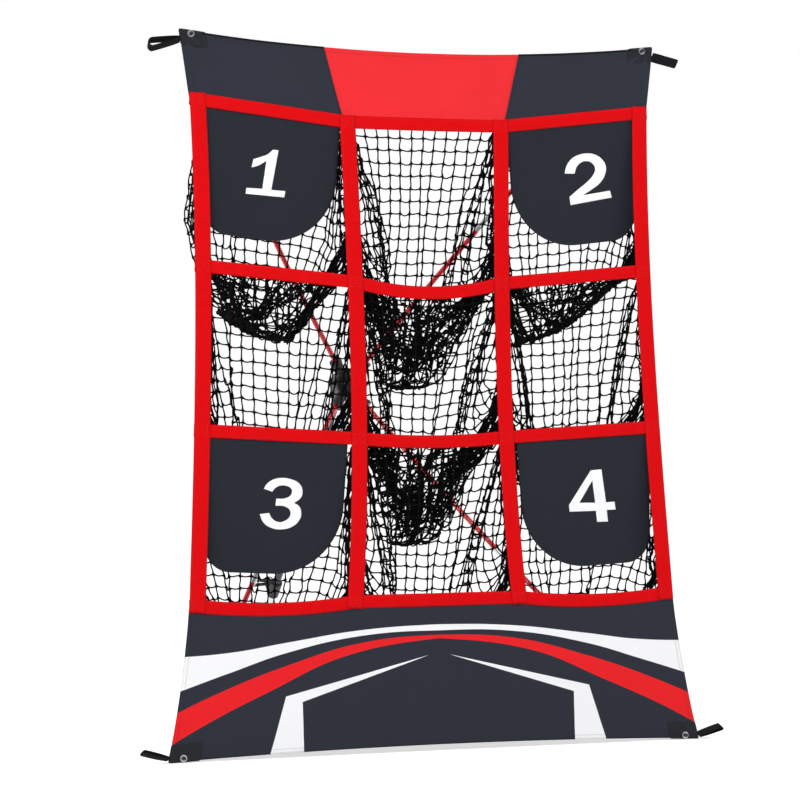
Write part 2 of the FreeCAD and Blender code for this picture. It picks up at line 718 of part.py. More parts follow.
def leaned(shape):
    """The upright shape, leaned back with the panel."""
    turned = shape.copy()
    turned.rotate(ORIGIN, ACROSS, -LEAN_DEG)
    return turned


def leaned_point(point):
    return leaned(Part.Vertex(point)).Point


def pivot_point():
    """The leg's pivot behind the hub, after the lean."""
    depth = HUB_DEPTH + HUB_THICK / 2 + PIVOT_BEHIND_HUB
    return leaned_point(Vector(0, depth, HUB_Z - PIVOT_BELOW_HUB))


def ground_height():
    """The lowest height of the two lower pole tips, after the lean."""
    return leaned_point(tip_centre(1, False)).z - TIP_R


def swung(shape):
    """A piece drawn on a leg that hangs straight down from the origin, put on the real leg."""
    turned = shape.copy()
    turned.rotate(ORIGIN, ACROSS, LEG_SWING_DEG)
    turned.translate(pivot_point())
    return turned


def leg_length():
    """From the pivot to the ground, along the leg."""
    return (pivot_point().z - ground_height()) / math.cos(math.radians(LEG_SWING_DEG))


def hub_body(paths):
    """The moulded hub: a thick disc, four sockets for the poles and two ears for the leg."""
    front = Vector(0, HUB_DEPTH - HUB_THICK / 2, HUB_Z)
    disc = Part.makeCylinder(HUB_R, HUB_THICK, front, BACK)
    disc = disc.makeFillet(HUB_ROUND, disc.Edges[:1] + disc.Edges[2:])
    barrels = [Part.makeCylinder(SOCKET_R, SOCKET_LENGTH, p.hub, p.hub_dir) for p in paths]
    lips = [
        Part.makeCylinder(SOCKET_LIP_R, SOCKET_LIP_LENGTH,
                          p.hub + p.hub_dir * (SOCKET_LENGTH - SOCKET_LIP_LENGTH), p.hub_dir)
        for p in paths
    ]
    pivot_depth = HUB_DEPTH + HUB_THICK / 2 + PIVOT_BEHIND_HUB
    pivot_z = HUB_Z - PIVOT_BELOW_HUB
    roots = []
    for side in SIDES.values():
        x_pair = sorted((side * EAR_GAP / 2, side * (EAR_GAP / 2 + EAR_T)))
        depths = (HUB_DEPTH + HUB_THICK / 4, pivot_depth)
        roots.append(box(x_pair, depths, (pivot_z - EAR_R, pivot_z + EAR_R)))
    body = leaned(fused([disc] + barrels + lips + roots))
    ears = []
    for side in SIDES.values():
        x_pair = sorted((side * EAR_GAP / 2, side * (EAR_GAP / 2 + EAR_T)))
        eye = Part.makeCylinder(EAR_R, EAR_T, Vector(x_pair[0], 0, 0), ACROSS)
        back_y = NECK_DEPTH / 2 + STOP_GAP + STOP_T
        ears.append(eye.fuse(box(x_pair, (-EAR_R, back_y), (-EAR_REACH, 0))))
    stop_y = NECK_DEPTH / 2 + STOP_GAP
    stop = box((-EAR_GAP / 2, EAR_GAP / 2), (stop_y, stop_y + STOP_T), (-EAR_REACH, -STOP_TOP))
    body = fused([body] + [swung(piece) for piece in ears + [stop]])
    for p in paths:
        base = p.hub + p.hub_dir * SOCKET_FLOOR
        bore = Part.makeCylinder(POLE_R + POLE_FIT, SOCKET_LENGTH, base, p.hub_dir)
        body = body.cut(leaned(bore))
    for centre in hub_screw_centres():
        hole = Part.makeCylinder(HUB_SCREW_R + SCREW_FIT, HUB_SCREW_LENGTH, centre, BACK)
        body = body.cut(leaned(hole))
    half = EAR_GAP / 2 + EAR_T
    pin_hole = Part.makeCylinder(PIVOT_PIN_R + PIN_FIT, 2 * half, Vector(-half, 0, 0), ACROSS)
    return body.cut(swung(pin_hole))


def hub_screw_centres():
    """Where the cap's screws enter the hub's front face."""
    front = HUB_DEPTH - HUB_THICK / 2
    centres = []
    for i in range(HUB_SCREW_COUNT):
        angle = 2 * math.pi * i / HUB_SCREW_COUNT
        offset = Vector(math.cos(angle), 0, math.sin(angle)) * HUB_SCREW_PITCH_R
        centres.append(Vector(0, front, HUB_Z) + offset)
    return centres


def hub_cap():
    """The round cap on the hub's front face."""
    centre = Vector(0, HUB_DEPTH - HUB_THICK / 2 - HUB_CAP_T, HUB_Z)
    cap = Part.makeCylinder(HUB_CAP_R, HUB_CAP_T, centre, BACK)
    for screw in hub_screw_centres():
        hole_r = HUB_SCREW_R + SCREW_FIT
        cap = cap.cut(Part.makeCylinder(hole_r, HUB_CAP_T, screw - BACK * HUB_CAP_T, BACK))
    return leaned(cap)


def hub_screws():
    """The screws that hold the cap, as one group."""
    screws = []
    for centre in hub_screw_centres():
        seat = centre - BACK * HUB_CAP_T
        shank = Part.makeCylinder(HUB_SCREW_R, HUB_CAP_T + HUB_SCREW_LENGTH - 1.0, seat, BACK)
        head = Part.makeCylinder(HUB_SCREW_HEAD_R, HUB_SCREW_HEAD_T, seat, -BACK)
        screws.append(leaned(fused([shank, head])))
    return Part.makeCompound(screws)


def leg_pivot_pin():
    half = EAR_GAP / 2 + EAR_T
    shank = Part.makeCylinder(PIVOT_PIN_R, 2 * half, Vector(-half, 0, 0), ACROSS)
    heads = [
        Part.makeCylinder(PIVOT_PIN_HEAD_R, PIVOT_PIN_HEAD_T, Vector(side * half, 0, 0),
                          ACROSS * side)
        for side in SIDES.values()
    ]
    return swung(fused([shank] + heads))


def leg_knuckle():
    """The leg's top fitting: an eye on the pivot pin, a collar and a plug in the tube."""
    eye = Part.makeCylinder(EAR_R - 1.0, NECK_W, Vector(-NECK_W / 2, 0, 0), ACROSS)
    half_depth = NECK_DEPTH / 2
    neck = box((-NECK_W / 2, NECK_W / 2), (-half_depth, half_depth), (-NECK_LENGTH, 0))
    collar = Part.makeCylinder(LEG_TUBE_R + 1.0, COLLAR_T, Vector(0, 0, -NECK_LENGTH), -UP)
    plug_top = Vector(0, 0, -NECK_LENGTH - COLLAR_T)
    plug_r = LEG_TUBE_R - LEG_TUBE_WALL - POLE_FIT
    plug = Part.makeCylinder(plug_r, KNUCKLE_PLUG_LENGTH, plug_top, -UP)
    hole = Part.makeCylinder(PIVOT_PIN_R + PIN_FIT, 2 * EAR_R, Vector(-EAR_R, 0, 0), ACROSS)
    return swung(fused([eye, neck, collar, plug]).cut(hole))


def tube_top():
    return -NECK_LENGTH - COLLAR_T


def tube_foot():
    return tube_top() - LEG_TUBE_LENGTH


def leg_tube():
    base = Vector(0, 0, tube_foot())
    bore = LEG_TUBE_R - LEG_TUBE_WALL
    return swung(annulus(LEG_TUBE_R, bore, LEG_TUBE_LENGTH, base, UP))


def leg_slider():
    """The thinner tube that slides out of the leg and ends in the foot."""
    top = tube_foot() + SLIDER_OVERLAP
    bottom = -leg_length() + FOOT_END_WALL
    base = Vector(0, 0, bottom)
    return swung(annulus(SLIDER_R, SLIDER_R - SLIDER_WALL, top - bottom, base, UP))


def leg_clamp():
    """The collar on the leg tube's end, slit below it, with two lugs for the lever's pin."""
    top = tube_foot() + CLAMP_ON_TUBE
    bottom = tube_foot() - CLAMP_BELOW_TUBE
    collar = Part.makeCylinder(CLAMP_R, top - bottom, Vector(0, 0, bottom), UP)
    rim = collar.Edges
    round_rim = [edge for edge in rim if edge.Curve.TypeId == "Part::GeomCircle"]
    collar = collar.makeChamfer(CLAMP_CHAMFER, round_rim)
    lugs = []
    for low in lever_lug_floors():
        disc = Part.makeCylinder(LUG_R, LUG_T, Vector(LEVER_PIN_X, LEVER_PIN_Y, low), UP)
        arm = box((LEVER_PIN_X - LUG_R, LEVER_PIN_X + LUG_R), (0, LEVER_PIN_Y), (low, low + LUG_T))
        lugs.append(disc.fuse(arm))
    body = fused([collar] + lugs)
    body = body.cut(Part.makeCylinder(LEG_TUBE_R + POLE_FIT, top - tube_foot(),
                                      Vector(0, 0, tube_foot()), UP))
    body = body.cut(Part.makeCylinder(SLIDER_R + SLIDE_FIT, top - bottom, Vector(0, 0, bottom), UP))
    body = body.cut(box((-CLAMP_SLIT / 2, CLAMP_SLIT / 2), (-CLAMP_R, 0), (bottom, tube_foot())))
    pin_hole = Part.makeCylinder(LEVER_PIN_R + PIN_FIT, top - bottom,
                                 Vector(LEVER_PIN_X, LEVER_PIN_Y, bottom), UP)
    return swung(body.cut(pin_hole))


def lever_lug_floors():
    """The lower faces of the two lugs, above and below the lever's knuckle."""
    middle = tube_foot() - CLAMP_BELOW_TUBE / 2 + CLAMP_ON_TUBE / 2
    half = LEVER_KNUCKLE_H / 2 + LEVER_SIDE_GAP
    return middle - half - LUG_T, middle + half


def lever_middle():
    low, high = lever_lug_floors()
    return (low + LUG_T + high) / 2


def lever_pin():
    low, high = lever_lug_floors()
    base = Vector(LEVER_PIN_X, LEVER_PIN_Y, low)
    length = high + LUG_T - low
    shank = Part.makeCylinder(LEVER_PIN_R, length, base, UP)
    foot = Part.makeCylinder(LEVER_PIN_HEAD_R, LEVER_PIN_HEAD_T, base, -UP)
    head = Part.makeCylinder(LEVER_PIN_HEAD_R, LEVER_PIN_HEAD_T, base + UP * length, UP)
    return swung(fused([shank, foot, head]))


def clamp_lever():
    """The clamp's lever: a knuckle on the pin and an open finger loop to the left."""
    middle = lever_middle()
    knuckle_base = Vector(LEVER_PIN_X, LEVER_PIN_Y, middle - LEVER_KNUCKLE_H / 2)
    knuckle = Part.makeCylinder(LEVER_KNUCKLE_R, LEVER_KNUCKLE_H, knuckle_base, UP)
    front = LEVER_PIN_Y - LOOP_LEVER_T / 2
    x_near, x_far = LEVER_PIN_X, LEVER_PIN_X - LOOP_LEVER_LENGTH
    half_h, rim = LOOP_LEVER_H / 2, LOOP_LEVER_RIM
    root_half = LEVER_KNUCKLE_H / 2
    x_root = x_near - LUG_R - LEVER_SIDE_GAP
    outline = [
        Vector(x_near, 0, middle - root_half),
        Vector(x_near, 0, middle + root_half),
        Vector(x_root, 0, middle + root_half),
        Vector(x_far, 0, middle + half_h),
        Vector(x_far, 0, middle - half_h),
        Vector(x_root, 0, middle - root_half),
    ]
    end_r = half_h * 0.8
    plate = slab(Part.Face(rounded_wire(outline, [0, 0, 0, end_r, end_r, 0])), front, LOOP_LEVER_T)
    hole_near = x_near - LEVER_KNUCKLE_R - rim / 2
    window = [
        Vector(hole_near, 0, middle - root_half + rim * 0.7),
        Vector(hole_near, 0, middle + root_half - rim * 0.7),
        Vector(x_far + rim, 0, middle + half_h - rim),
        Vector(x_far + rim, 0, middle - half_h + rim),
    ]
    hole = slab(Part.Face(rounded_wire(window, [2, 2, 6, 6])), front, LOOP_LEVER_T)
    bore = Part.makeCylinder(LEVER_PIN_R + PIN_FIT, LEVER_KNUCKLE_H, knuckle_base, UP)
    return swung(fused([knuckle, plate]).cut(hole).cut(bore))


def foot_contact():
    """Where the leg's middle line meets the ground."""
    return swung(Part.Vertex(Vector(0, 0, -leg_length()))).Point


def stake_hole_centre():
    contact = foot_contact()
    return Vector(0, contact.y + FOOT_TAB_REACH - FOOT_TAB_W / 2, ground_height())


def rear_foot():
    """The rubber foot: a socket on the sliding tube, a flat pad and a tab with a stake hole."""
    contact = foot_contact()
    ground = ground_height()
    socket = swung(Part.makeCylinder(FOOT_R, FOOT_LENGTH + FOOT_R, Vector(0, 0, -leg_length() - FOOT_R), UP))
    below = box((-100, 100), (contact.y - 200, contact.y + 200), (ground - 200, ground))
    pad = Part.makeCylinder(FOOT_PAD_R, FOOT_PAD_T, contact, UP)
    hole_centre = stake_hole_centre()
    tab_end = Part.makeCylinder(FOOT_TAB_W / 2, FOOT_PAD_T, hole_centre, UP)
    tab = box((-FOOT_TAB_W / 2, FOOT_TAB_W / 2), (contact.y, hole_centre.y),
              (ground, ground + FOOT_PAD_T))
    body = fused([socket, pad, tab_end, tab]).cut(below)
    tube_end = Vector(0, 0, -leg_length() + FOOT_END_WALL)
    body = body.cut(swung(Part.makeCylinder(SLIDER_R + POLE_FIT, 2 * FOOT_LENGTH, tube_end, UP)))
    return body.cut(Part.makeCylinder(STAKE_HOLE_R, FOOT_PAD_T, hole_centre, UP))


def build():
    """All pieces by name, in place, before the origin is set."""
    parts = {}
    corners = [(v, h, side, v == "top") for v in ("top", "bottom") for h, side in SIDES.items()]
    for name, side in SIDES.items():
        parts["top_cloth_" + name] = leaned(top_cloth(side))
        parts["upright_web_outer_" + name] = leaned(upright_web(side, OUTER_WEB_X))
        parts["upright_web_inner_" + name] = leaned(upright_web(side, INNER_WEB_X))
    parts["top_red_panel"] = leaned(top_red_panel())
    parts["bottom_cloth"] = leaned(bottom_cloth())
    for level, name in enumerate(("top", "upper", "lower", "base")):
        parts["cross_web_" + name] = leaned(cross_web(level))
    for row, row_name in enumerate(("top", "middle", "bottom")):
        for column, column_name in enumerate(("left", "centre", "right")):
            parts["net_bag_%s_%s" % (row_name, column_name)] = leaned(net_bag(row, column))
    for number, (side, level) in enumerate(((-1, 0), (1, 0), (-1, 2), (1, 2)), 1):
        parts["flap_%d" % number] = leaned(flap(side, level))
    paths = []
    eyelets = []
    ferrules = []
    for v, h, side, top in corners:
        where = "%s_%s" % (v, h)
        path = PolePath(side, top)
        paths.append(path)
        parts["corner_patch_" + where] = leaned(corner_patch(side, top))
        parts["pull_loop_" + where] = leaned(pull_loop(side, top))
        hub_half, tip_half = pole_halves(path)
        parts["pole_hub_half_" + where] = leaned(hub_half)
        parts["pole_tip_half_" + where] = leaned(tip_half)
        parts["pole_tip_" + where] = leaned(pole_tip(path))
        ferrules.append(leaned(pole_ferrule(path)))
        centre = tip_centre(1, top)
        eyelets.append(leaned(eyelet(side, centre.x, centre.z)))
    parts["pole_ferrules"] = Part.makeCompound(ferrules)
    parts["corner_eyelets"] = Part.makeCompound(eyelets)
    parts["hub_body"] = hub_body(paths)
    parts["hub_cap"] = hub_cap()
    parts["hub_screws"] = hub_screws()
    parts["leg_pivot_pin"] = leg_pivot_pin()
    parts["leg_knuckle"] = leg_knuckle()
    parts["leg_tube"] = leg_tube()
    parts["leg_slider"] = leg_slider()
    parts["leg_clamp"] = leg_clamp()
    parts["clamp_lever_pin"] = lever_pin()
    parts["clamp_lever"] = clamp_lever()
    parts["rear_foot"] = rear_foot()
    return parts


def origin_shift(parts):
    """What moves the part so that its box is centred on the origin and stands on z = 0."""
    bounds = Part.makeCompound(list(parts.values())).optimalBoundingBox(False, False)
    return Vector(-bounds.Center.x, -bounds.Center.y, -bounds.ZMin)


def main():
    os.makedirs("parts", exist_ok=True)
    parts = build()
    shift = origin_shift(parts)
    for name, shape in parts.items():
        shape.translate(shift)
        shape.exportStep(os.path.join("parts", name + ".step"))
    print(len(parts), "parts, shifted by", [round(v, 4) for v in shift])


if __name__ == "__main__":
    main()
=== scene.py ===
# %% [markdown]
# This file dresses a pitching target net. A flat panel of cloth and red webbing is spread by
# four bowed poles that meet in a hub behind it, and one telescopic leg holds the hub up. Nine
# net bags catch the balls, and four numbered flaps cover the corner openings. The hard pieces
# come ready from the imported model, and only get a finish here. The soft pieces are made here,
# each in the place that its plain solid holds in the model.

# %% The frame
import json
import math

import bmesh
import bpy
import numpy as np
from mathutils import Matrix
from mathutils import Vector
from mathutils import noise

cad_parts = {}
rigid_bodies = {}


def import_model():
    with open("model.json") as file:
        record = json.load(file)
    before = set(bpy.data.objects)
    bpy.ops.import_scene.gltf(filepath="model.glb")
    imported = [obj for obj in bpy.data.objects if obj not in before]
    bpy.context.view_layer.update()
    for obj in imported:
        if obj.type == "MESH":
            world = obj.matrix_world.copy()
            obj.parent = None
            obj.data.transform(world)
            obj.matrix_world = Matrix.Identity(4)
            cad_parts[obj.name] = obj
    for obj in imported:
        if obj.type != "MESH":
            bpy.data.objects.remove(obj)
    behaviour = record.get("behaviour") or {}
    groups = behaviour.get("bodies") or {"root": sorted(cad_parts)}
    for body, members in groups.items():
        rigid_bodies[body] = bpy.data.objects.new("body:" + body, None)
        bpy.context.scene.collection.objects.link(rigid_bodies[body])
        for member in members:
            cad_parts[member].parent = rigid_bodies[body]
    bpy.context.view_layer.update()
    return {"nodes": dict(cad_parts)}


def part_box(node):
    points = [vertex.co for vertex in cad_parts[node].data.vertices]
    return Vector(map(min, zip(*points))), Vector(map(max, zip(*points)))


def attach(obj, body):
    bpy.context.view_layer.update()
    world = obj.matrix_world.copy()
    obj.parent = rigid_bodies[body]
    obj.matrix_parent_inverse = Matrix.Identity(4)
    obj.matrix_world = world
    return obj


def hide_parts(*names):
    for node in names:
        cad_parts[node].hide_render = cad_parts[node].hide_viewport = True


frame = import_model()
SIDES = ((-1, "left"), (1, "right"))


def linked(name, data):
    """A new object in the scene, at the origin."""
    obj = bpy.data.objects.new(name, data)
    bpy.context.collection.objects.link(obj)
    return obj


# %% [markdown]
# Everything on the panel is easiest to place in the panel's own directions: across, behind it
# and along it. The panel leans back, so one function turns such places into places in the
# scene. How far the model was moved to stand on the ground is read off the box of an outer
# upright.

# %% Places on the panel
LEAN = math.radians(4.5)
WEB_T = 0.0018
CLOTH_T = 0.0008
BASE_WEB_MIDDLE = 0.349
CROSS_WEB_W = 0.030
UPRIGHT_WEB_W = 0.038

upright_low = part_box("upright_web_outer_left")[0]
upright_foot = BASE_WEB_MIDDLE - CROSS_WEB_W / 2
SHIFT_Y = upright_low.y + 2 * WEB_T * math.cos(LEAN) - upright_foot * math.sin(LEAN)
SHIFT_Z = upright_low.z - upright_foot * math.cos(LEAN) - WEB_T * math.sin(LEAN)


def on_panel(points):
    """Places in the scene of places given across, behind and along the panel, in metres."""
    p = np.asarray(points, float)
    y = p[..., 1] * math.cos(LEAN) + p[..., 2] * math.sin(LEAN) + SHIFT_Y
    z = p[..., 2] * math.cos(LEAN) - p[..., 1] * math.sin(LEAN) + SHIFT_Z
    return np.stack([p[..., 0], y, z], axis=-1)


print("panel foot at", on_panel((0, 0, 0)).round(4))

# %% [markdown]
# The camera stands about seven metres away, a little to the left of the panel and at the
# height of its middle, which is where the webbing's crossings agree best with the photograph.
# The small shifts only frame the picture.

# %% Camera
AZIMUTH = math.radians(-20.85)
ELEVATION = math.radians(0.18)
DISTANCE = 7.235
SENSOR = 36.0
FOCAL_PIXELS = 3122
PICTURE = 800
LOOK_HEIGHT = 0.871
LOOK_PIXEL = (431.5, 373.7)

look_at = Vector(on_panel((0, 0, LOOK_HEIGHT)))
outwards = Vector((
    math.sin(AZIMUTH) * math.cos(ELEVATION),
    -math.cos(AZIMUTH) * math.cos(ELEVATION),
    math.sin(ELEVATION),
))
camera_data = bpy.data.cameras.new("camera")
camera_data.sensor_width = SENSOR
camera_data.lens = FOCAL_PIXELS / PICTURE * SENSOR
camera_data.shift_x = (PICTURE / 2 - LOOK_PIXEL[0]) / PICTURE
camera_data.shift_y = (LOOK_PIXEL[1] - PICTURE / 2) / PICTURE
camera = linked("camera", camera_data)
camera.location = look_at + outwards * DISTANCE
camera.rotation_euler = (-outwards).to_track_quat("-Z", "Y").to_euler()
bpy.context.scene.camera = camera
print("lens", round(camera_data.lens, 1), "mm")

# %% [markdown]
# A finish is a short list of shader nodes. Two small classes keep the making of one readable.
# Nodes holds what every node tree needs, and Finish adds what a material needs: a few calls
# add nodes and sums, and what is the same all over the surface is set on the shader itself.
# Patterns read the cloth's own cut, a UV map in metres, so that a weave keeps its real size.


# %% A finish and its nodes
# How often Blender's wave texture repeats at a scale of 1, in metres
WAVE_REPEAT = 0.314


class Nodes:
    """A node tree being filled. Its nodes and links are set by the two classes that use it."""

    def fill(self, socket, value):
        if isinstance(value, bpy.types.NodeSocket):
            self.links.new(value, socket)
        else:
            socket.default_value = value

    def sum(self, operation, a, b=0.0):
        """The result of one sum on two numbers or sockets."""
        node = self.nodes.new("ShaderNodeMath")
        node.operation = operation
        self.fill(node.inputs[0], a)
        self.fill(node.inputs[1], b)
        return node.outputs[0]


class Finish(Nodes):
    """A material being made, with its main shader."""

    def __init__(self, name, colour, roughness, metal=0.0):
        self.material = bpy.data.materials.new(name)
        self.material.use_nodes = True
        self.nodes = self.material.node_tree.nodes
        self.links = self.material.node_tree.links
        self.shader = self.nodes["Principled BSDF"]
        self.set("Base Color", (*colour, 1.0))
        self.set("Roughness", roughness)
        self.set("Metallic", metal)

    def set(self, socket, value):
        self.shader.inputs[socket].default_value = value

    def add(self, kind, **settings):
        """A new node, with its properties set and its inputs filled or linked by name."""
        node = self.nodes.new(kind)
        for key, value in settings.items():
            if hasattr(node, key) and key not in node.inputs:
                setattr(node, key, value)
        for key, value in settings.items():
            if key in node.inputs:
                self.fill(node.inputs[key], value)
        return node

    def blend(self, share, a, b):
        """Colour a where the share is 0 and b where it is 1."""
        node = self.nodes.new("ShaderNodeMix")
        node.data_type = "RGBA"
        self.fill(node.inputs[0], share)
        self.fill(node.inputs[6], a if not isinstance(a, tuple) else (*a, 1.0))
        self.fill(node.inputs[7], b if not isinstance(b, tuple) else (*b, 1.0))
        return node.outputs[2]

    def wave(self, place, pitch, direction):
        """Soft bands of one pitch, in metres."""
        return self.add(
            "ShaderNodeTexWave", wave_type="BANDS", bands_direction=direction,
            wave_profile="SIN", Vector=place, Scale=WAVE_REPEAT / pitch,
        ).outputs["Fac"]

    def noise(self, place, size, detail=2.0):
        """Soft noise whose blots are about size across, in metres."""
        return self.add(
            "ShaderNodeTexNoise", Vector=place, Scale=1.0 / size, Detail=detail,
        ).outputs["Fac"]

    def bump(self, height, depth):
        """Raises the surface by up to depth, in metres, where the height is 1."""
        node = self.add("ShaderNodeBump", Height=height, Distance=depth, Strength=1.0)
        self.links.new(node.outputs[0], self.shader.inputs["Normal"])

    def cut(self):
        """The cloth's own cut, in metres."""
        return self.add("ShaderNodeUVMap", uv_map="cut").outputs[0]

    def place(self):
        """The place in the scene at rest."""
        return self.add("ShaderNodeTexCoord").outputs["Object"]


def mottled(finish, colour, change, place, size):
    """The colour a little lighter and darker in soft blots, as cloth and paint are."""
    light = tuple(min(1.0, c * (1 + change)) for c in colour)
    dark = tuple(c * (1 - change) for c in colour)
    blots = finish.noise(place, size)
    return finish.blend(blots, dark, light)


# %% [markdown]
# The cloths are a plain weave of fine yarn, matt and a little fuzzy. One function gives them
# all: two sets of fine bands make the yarn, and soft noise makes the small changes of tone.

# %% Cloth finishes
NAVY = (0.022, 0.025, 0.037)
NAVY_BACK = (0.017, 0.019, 0.029)
CLOTH_RED = (0.78, 0.020, 0.026)
PRINT_RED = (0.78, 0.012, 0.016)
WHITE = (0.88, 0.89, 0.91)
YARN = 0.0006
YARN_DEPTH = 0.00012
CLOTH_SHINE = 0.14
CLOTH_BLOTS = 0.11


def woven(name, colour, roughness=0.72, sheen=0.02):
    """A plain-woven cloth. It returns the finish and the socket of its mottled colour."""
    finish = Finish(name, colour, roughness)
    cut = finish.cut()
    warp = finish.wave(cut, YARN, "X")
    weft = finish.wave(cut, YARN, "Y")
    finish.bump(finish.sum("MAXIMUM", warp, weft), YARN_DEPTH)
    finish.set("Sheen Weight", sheen)
    finish.set("Sheen Roughness", 0.5)
    finish.set("Specular IOR Level", CLOTH_SHINE)
    tone = mottled(finish, colour, 0.06, cut, CLOTH_BLOTS)
    finish.links.new(tone, finish.shader.inputs["Base Color"])
    return finish, tone


navy_cloth = woven("navy_cloth", NAVY)[0].material
navy_back = woven("navy_cloth_back", NAVY_BACK)[0].material
red_cloth = woven("red_cloth", CLOTH_RED, 0.6)[0].material
red_back = woven("red_cloth_back", (0.62, 0.03, 0.03), 0.7)[0].material
flap_cloth = woven("flap_cloth", (0.0145, 0.0165, 0.0245), 0.66)[0].material

# %% [markdown]
# The bottom band carries a print: a white and a red stripe that arch over the outline of a
# home plate. A print has no thickness, so it belongs in the finish. Each stripe's upper and
# lower edge is a curve of height over distance from the middle, and a point is in the stripe
# when it lies between the two. The plate's lines are straight, so their edges are plain sums.

# %% Printed band
PRINT_HALF = 0.66
PRINT_TOP = 0.36
WHITE_STRIPE = (
    ((0, 0.292), (0.19, 0.284), (0.37, 0.261), (0.50, 0.243), (0.66, 0.236)),
    ((0, 0.278), (0.19, 0.271), (0.37, 0.238), (0.50, 0.199), (0.66, 0.148)),
)
RED_STRIPE = (
    ((0, 0.268), (0.19, 0.255), (0.37, 0.209), (0.54, 0.150), (0.66, 0.098)),
    ((0, 0.260), (0.23, 0.226), (0.41, 0.153), (0.56, 0.086), (0.66, 0.032)),
)
PLATE_TIP = (0.026, 0.222)
PLATE_OUTER_SLOPE = -0.236
PLATE_INNER_SLOPE = -0.310
PLATE_INNER_X = 0.334
PLATE_CORNER = (0.373, 0.140)
PLATE_SIDE_SLOPE = 0.318


def edge_height(finish, across, points):
    """Height of a printed edge at a distance from the middle."""
    node = finish.add("ShaderNodeFloatCurve")
    curve = node.mapping.curves[0]
    for x, height in points[1:-1]:
        curve.points.new(x / PRINT_HALF, height / PRINT_TOP)
    curve.points[0].location = (0.0, points[0][1] / PRINT_TOP)
    curve.points[-1].location = (1.0, points[-1][1] / PRINT_TOP)
    node.mapping.update()
    share = finish.sum("DIVIDE", across, PRINT_HALF)
    finish.links.new(share, node.inputs["Value"])
    return finish.sum("MULTIPLY", node.outputs[0], PRINT_TOP)


def between(finish, height, upper, lower):
    """1 where the height lies under the upper edge and over the lower one."""
    under = finish.sum("LESS_THAN", height, upper)
    over = finish.sum("GREATER_THAN", height, lower)
    return finish.sum("MULTIPLY", under, over)


def plate_line(finish, slope, across):
    along = finish.sum("SUBTRACT", across, PLATE_TIP[0])
    return finish.sum("ADD", finish.sum("MULTIPLY", along, slope), PLATE_TIP[1])


def plate_mask(finish, across, height):
    """1 on the two bent lines that draw the plate."""
    down = finish.sum("SUBTRACT", PLATE_CORNER[1], height)
    side = finish.sum("ADD", finish.sum("MULTIPLY", down, PLATE_SIDE_SLOPE), PLATE_CORNER[0])
    within = finish.sum("LESS_THAN", across, side)
    under = finish.sum("LESS_THAN", height, plate_line(finish, PLATE_OUTER_SLOPE, across))
    inner_under = finish.sum("LESS_THAN", height, plate_line(finish, PLATE_INNER_SLOPE, across))
    inner_within = finish.sum("LESS_THAN", across, PLATE_INNER_X)
    hole = finish.sum("MULTIPLY", inner_under, inner_within)
    outside = finish.sum("MULTIPLY", within, under)
    return finish.sum("MULTIPLY", outside, finish.sum("SUBTRACT", 1.0, hole))


def printed_band():
    finish, tone = woven("printed_band", NAVY)
    parts = finish.add("ShaderNodeSeparateXYZ", Vector=finish.cut())
    across = finish.sum("ABSOLUTE", parts.outputs[0])
    height = parts.outputs[1]
    for stripe, ink in ((WHITE_STRIPE, WHITE), (RED_STRIPE, PRINT_RED)):
        upper, lower = [edge_height(finish, across, edge) for edge in stripe]
        tone = finish.blend(between(finish, height, upper, lower), tone, ink)
    tone = finish.blend(plate_mask(finish, across, height), tone, WHITE)
    finish.links.new(tone, finish.shader.inputs["Base Color"])
    return finish.material


band_print = printed_band()

# %% [markdown]
# Webbing is woven in ribs across its length, and its edges are a little shiny. The netting is
# black twine, the poles are glossy glass-fibre rods, and the fittings are matt moulded nylon.
# The poles' red is painted lighter than their own red: painted light that makes up for the
# shade which the panel and the nets cast on them. The hard ones read their place in the scene,
# because they have no cut.

# %% Webbing, twine and hard finishes
WEB_RED = (0.67, 0.003, 0.005)
RIB = 0.0014
RIB_DEPTH = 0.00018
RIB_YARN_SHARE = 0.4
WEB_SHINE = 0.03
WEB_BLOTS = 0.03


def webbing(name, colour, roughness=0.55):
    finish = Finish(name, colour, roughness)
    cut = finish.cut()
    ribs = finish.wave(cut, RIB, "X")
    yarns = finish.wave(cut, RIB / 2, "Y")
    yarns = finish.sum("MULTIPLY", yarns, RIB_YARN_SHARE)
    finish.bump(finish.sum("ADD", ribs, yarns), RIB_DEPTH)
    finish.set("Specular IOR Level", WEB_SHINE)
    tone = mottled(finish, colour, 0.05, cut, WEB_BLOTS)
    finish.links.new(tone, finish.shader.inputs["Base Color"])
    return finish.material


def moulded(name, colour, roughness, grain, depth, metal=0.0, coat=0.0, shine=0.5):
    """A hard finish with a fine grain."""
    finish = Finish(name, colour, roughness, metal)
    finish.set("Specular IOR Level", shine)
    place = finish.place()
    finish.bump(finish.noise(place, grain, 4.0), depth)
    finish.set("Coat Weight", coat)
    finish.set("Coat Roughness", 0.08)
    tone = mottled(finish, colour, 0.08, place, grain * 30)
    finish.links.new(tone, finish.shader.inputs["Base Color"])
    return finish.material


red_webbing = webbing("red_webbing", WEB_RED)
black_webbing = webbing("black_webbing", (0.012, 0.012, 0.014), 0.6)
patch_cloth = woven("patch_cloth", (0.013, 0.014, 0.018), 0.6)[0].material
twine = moulded("twine", (0.0022, 0.0022, 0.0028), 0.8, 0.0006, 0.0002, shine=0.06)
red_thread = moulded("red_thread", (0.55, 0.008, 0.010), 0.5, 0.0005, 0.0001)
dark_thread = moulded("dark_thread", (0.005, 0.005, 0.007), 0.5, 0.0005, 0.0001)
white_film = moulded("white_film", WHITE, 0.45, 0.0008, 0.00004)
# The poles' red is lighter than the rods' own red. This is painted light against the panel's
# and the nets' shade.
pole_gloss_painted_light = moulded("pole_fibreglass", (0.90, 0.005, 0.016), 0.22, 0.0015, 0.00003, coat=0.8)
nylon = moulded("moulded_nylon", (0.012, 0.012, 0.013), 0.42, 0.0007, 0.00006)
tube_metal = moulded("drawn_metal", (0.72, 0.73, 0.75), 0.28, 0.002, 0.00002, metal=1.0)
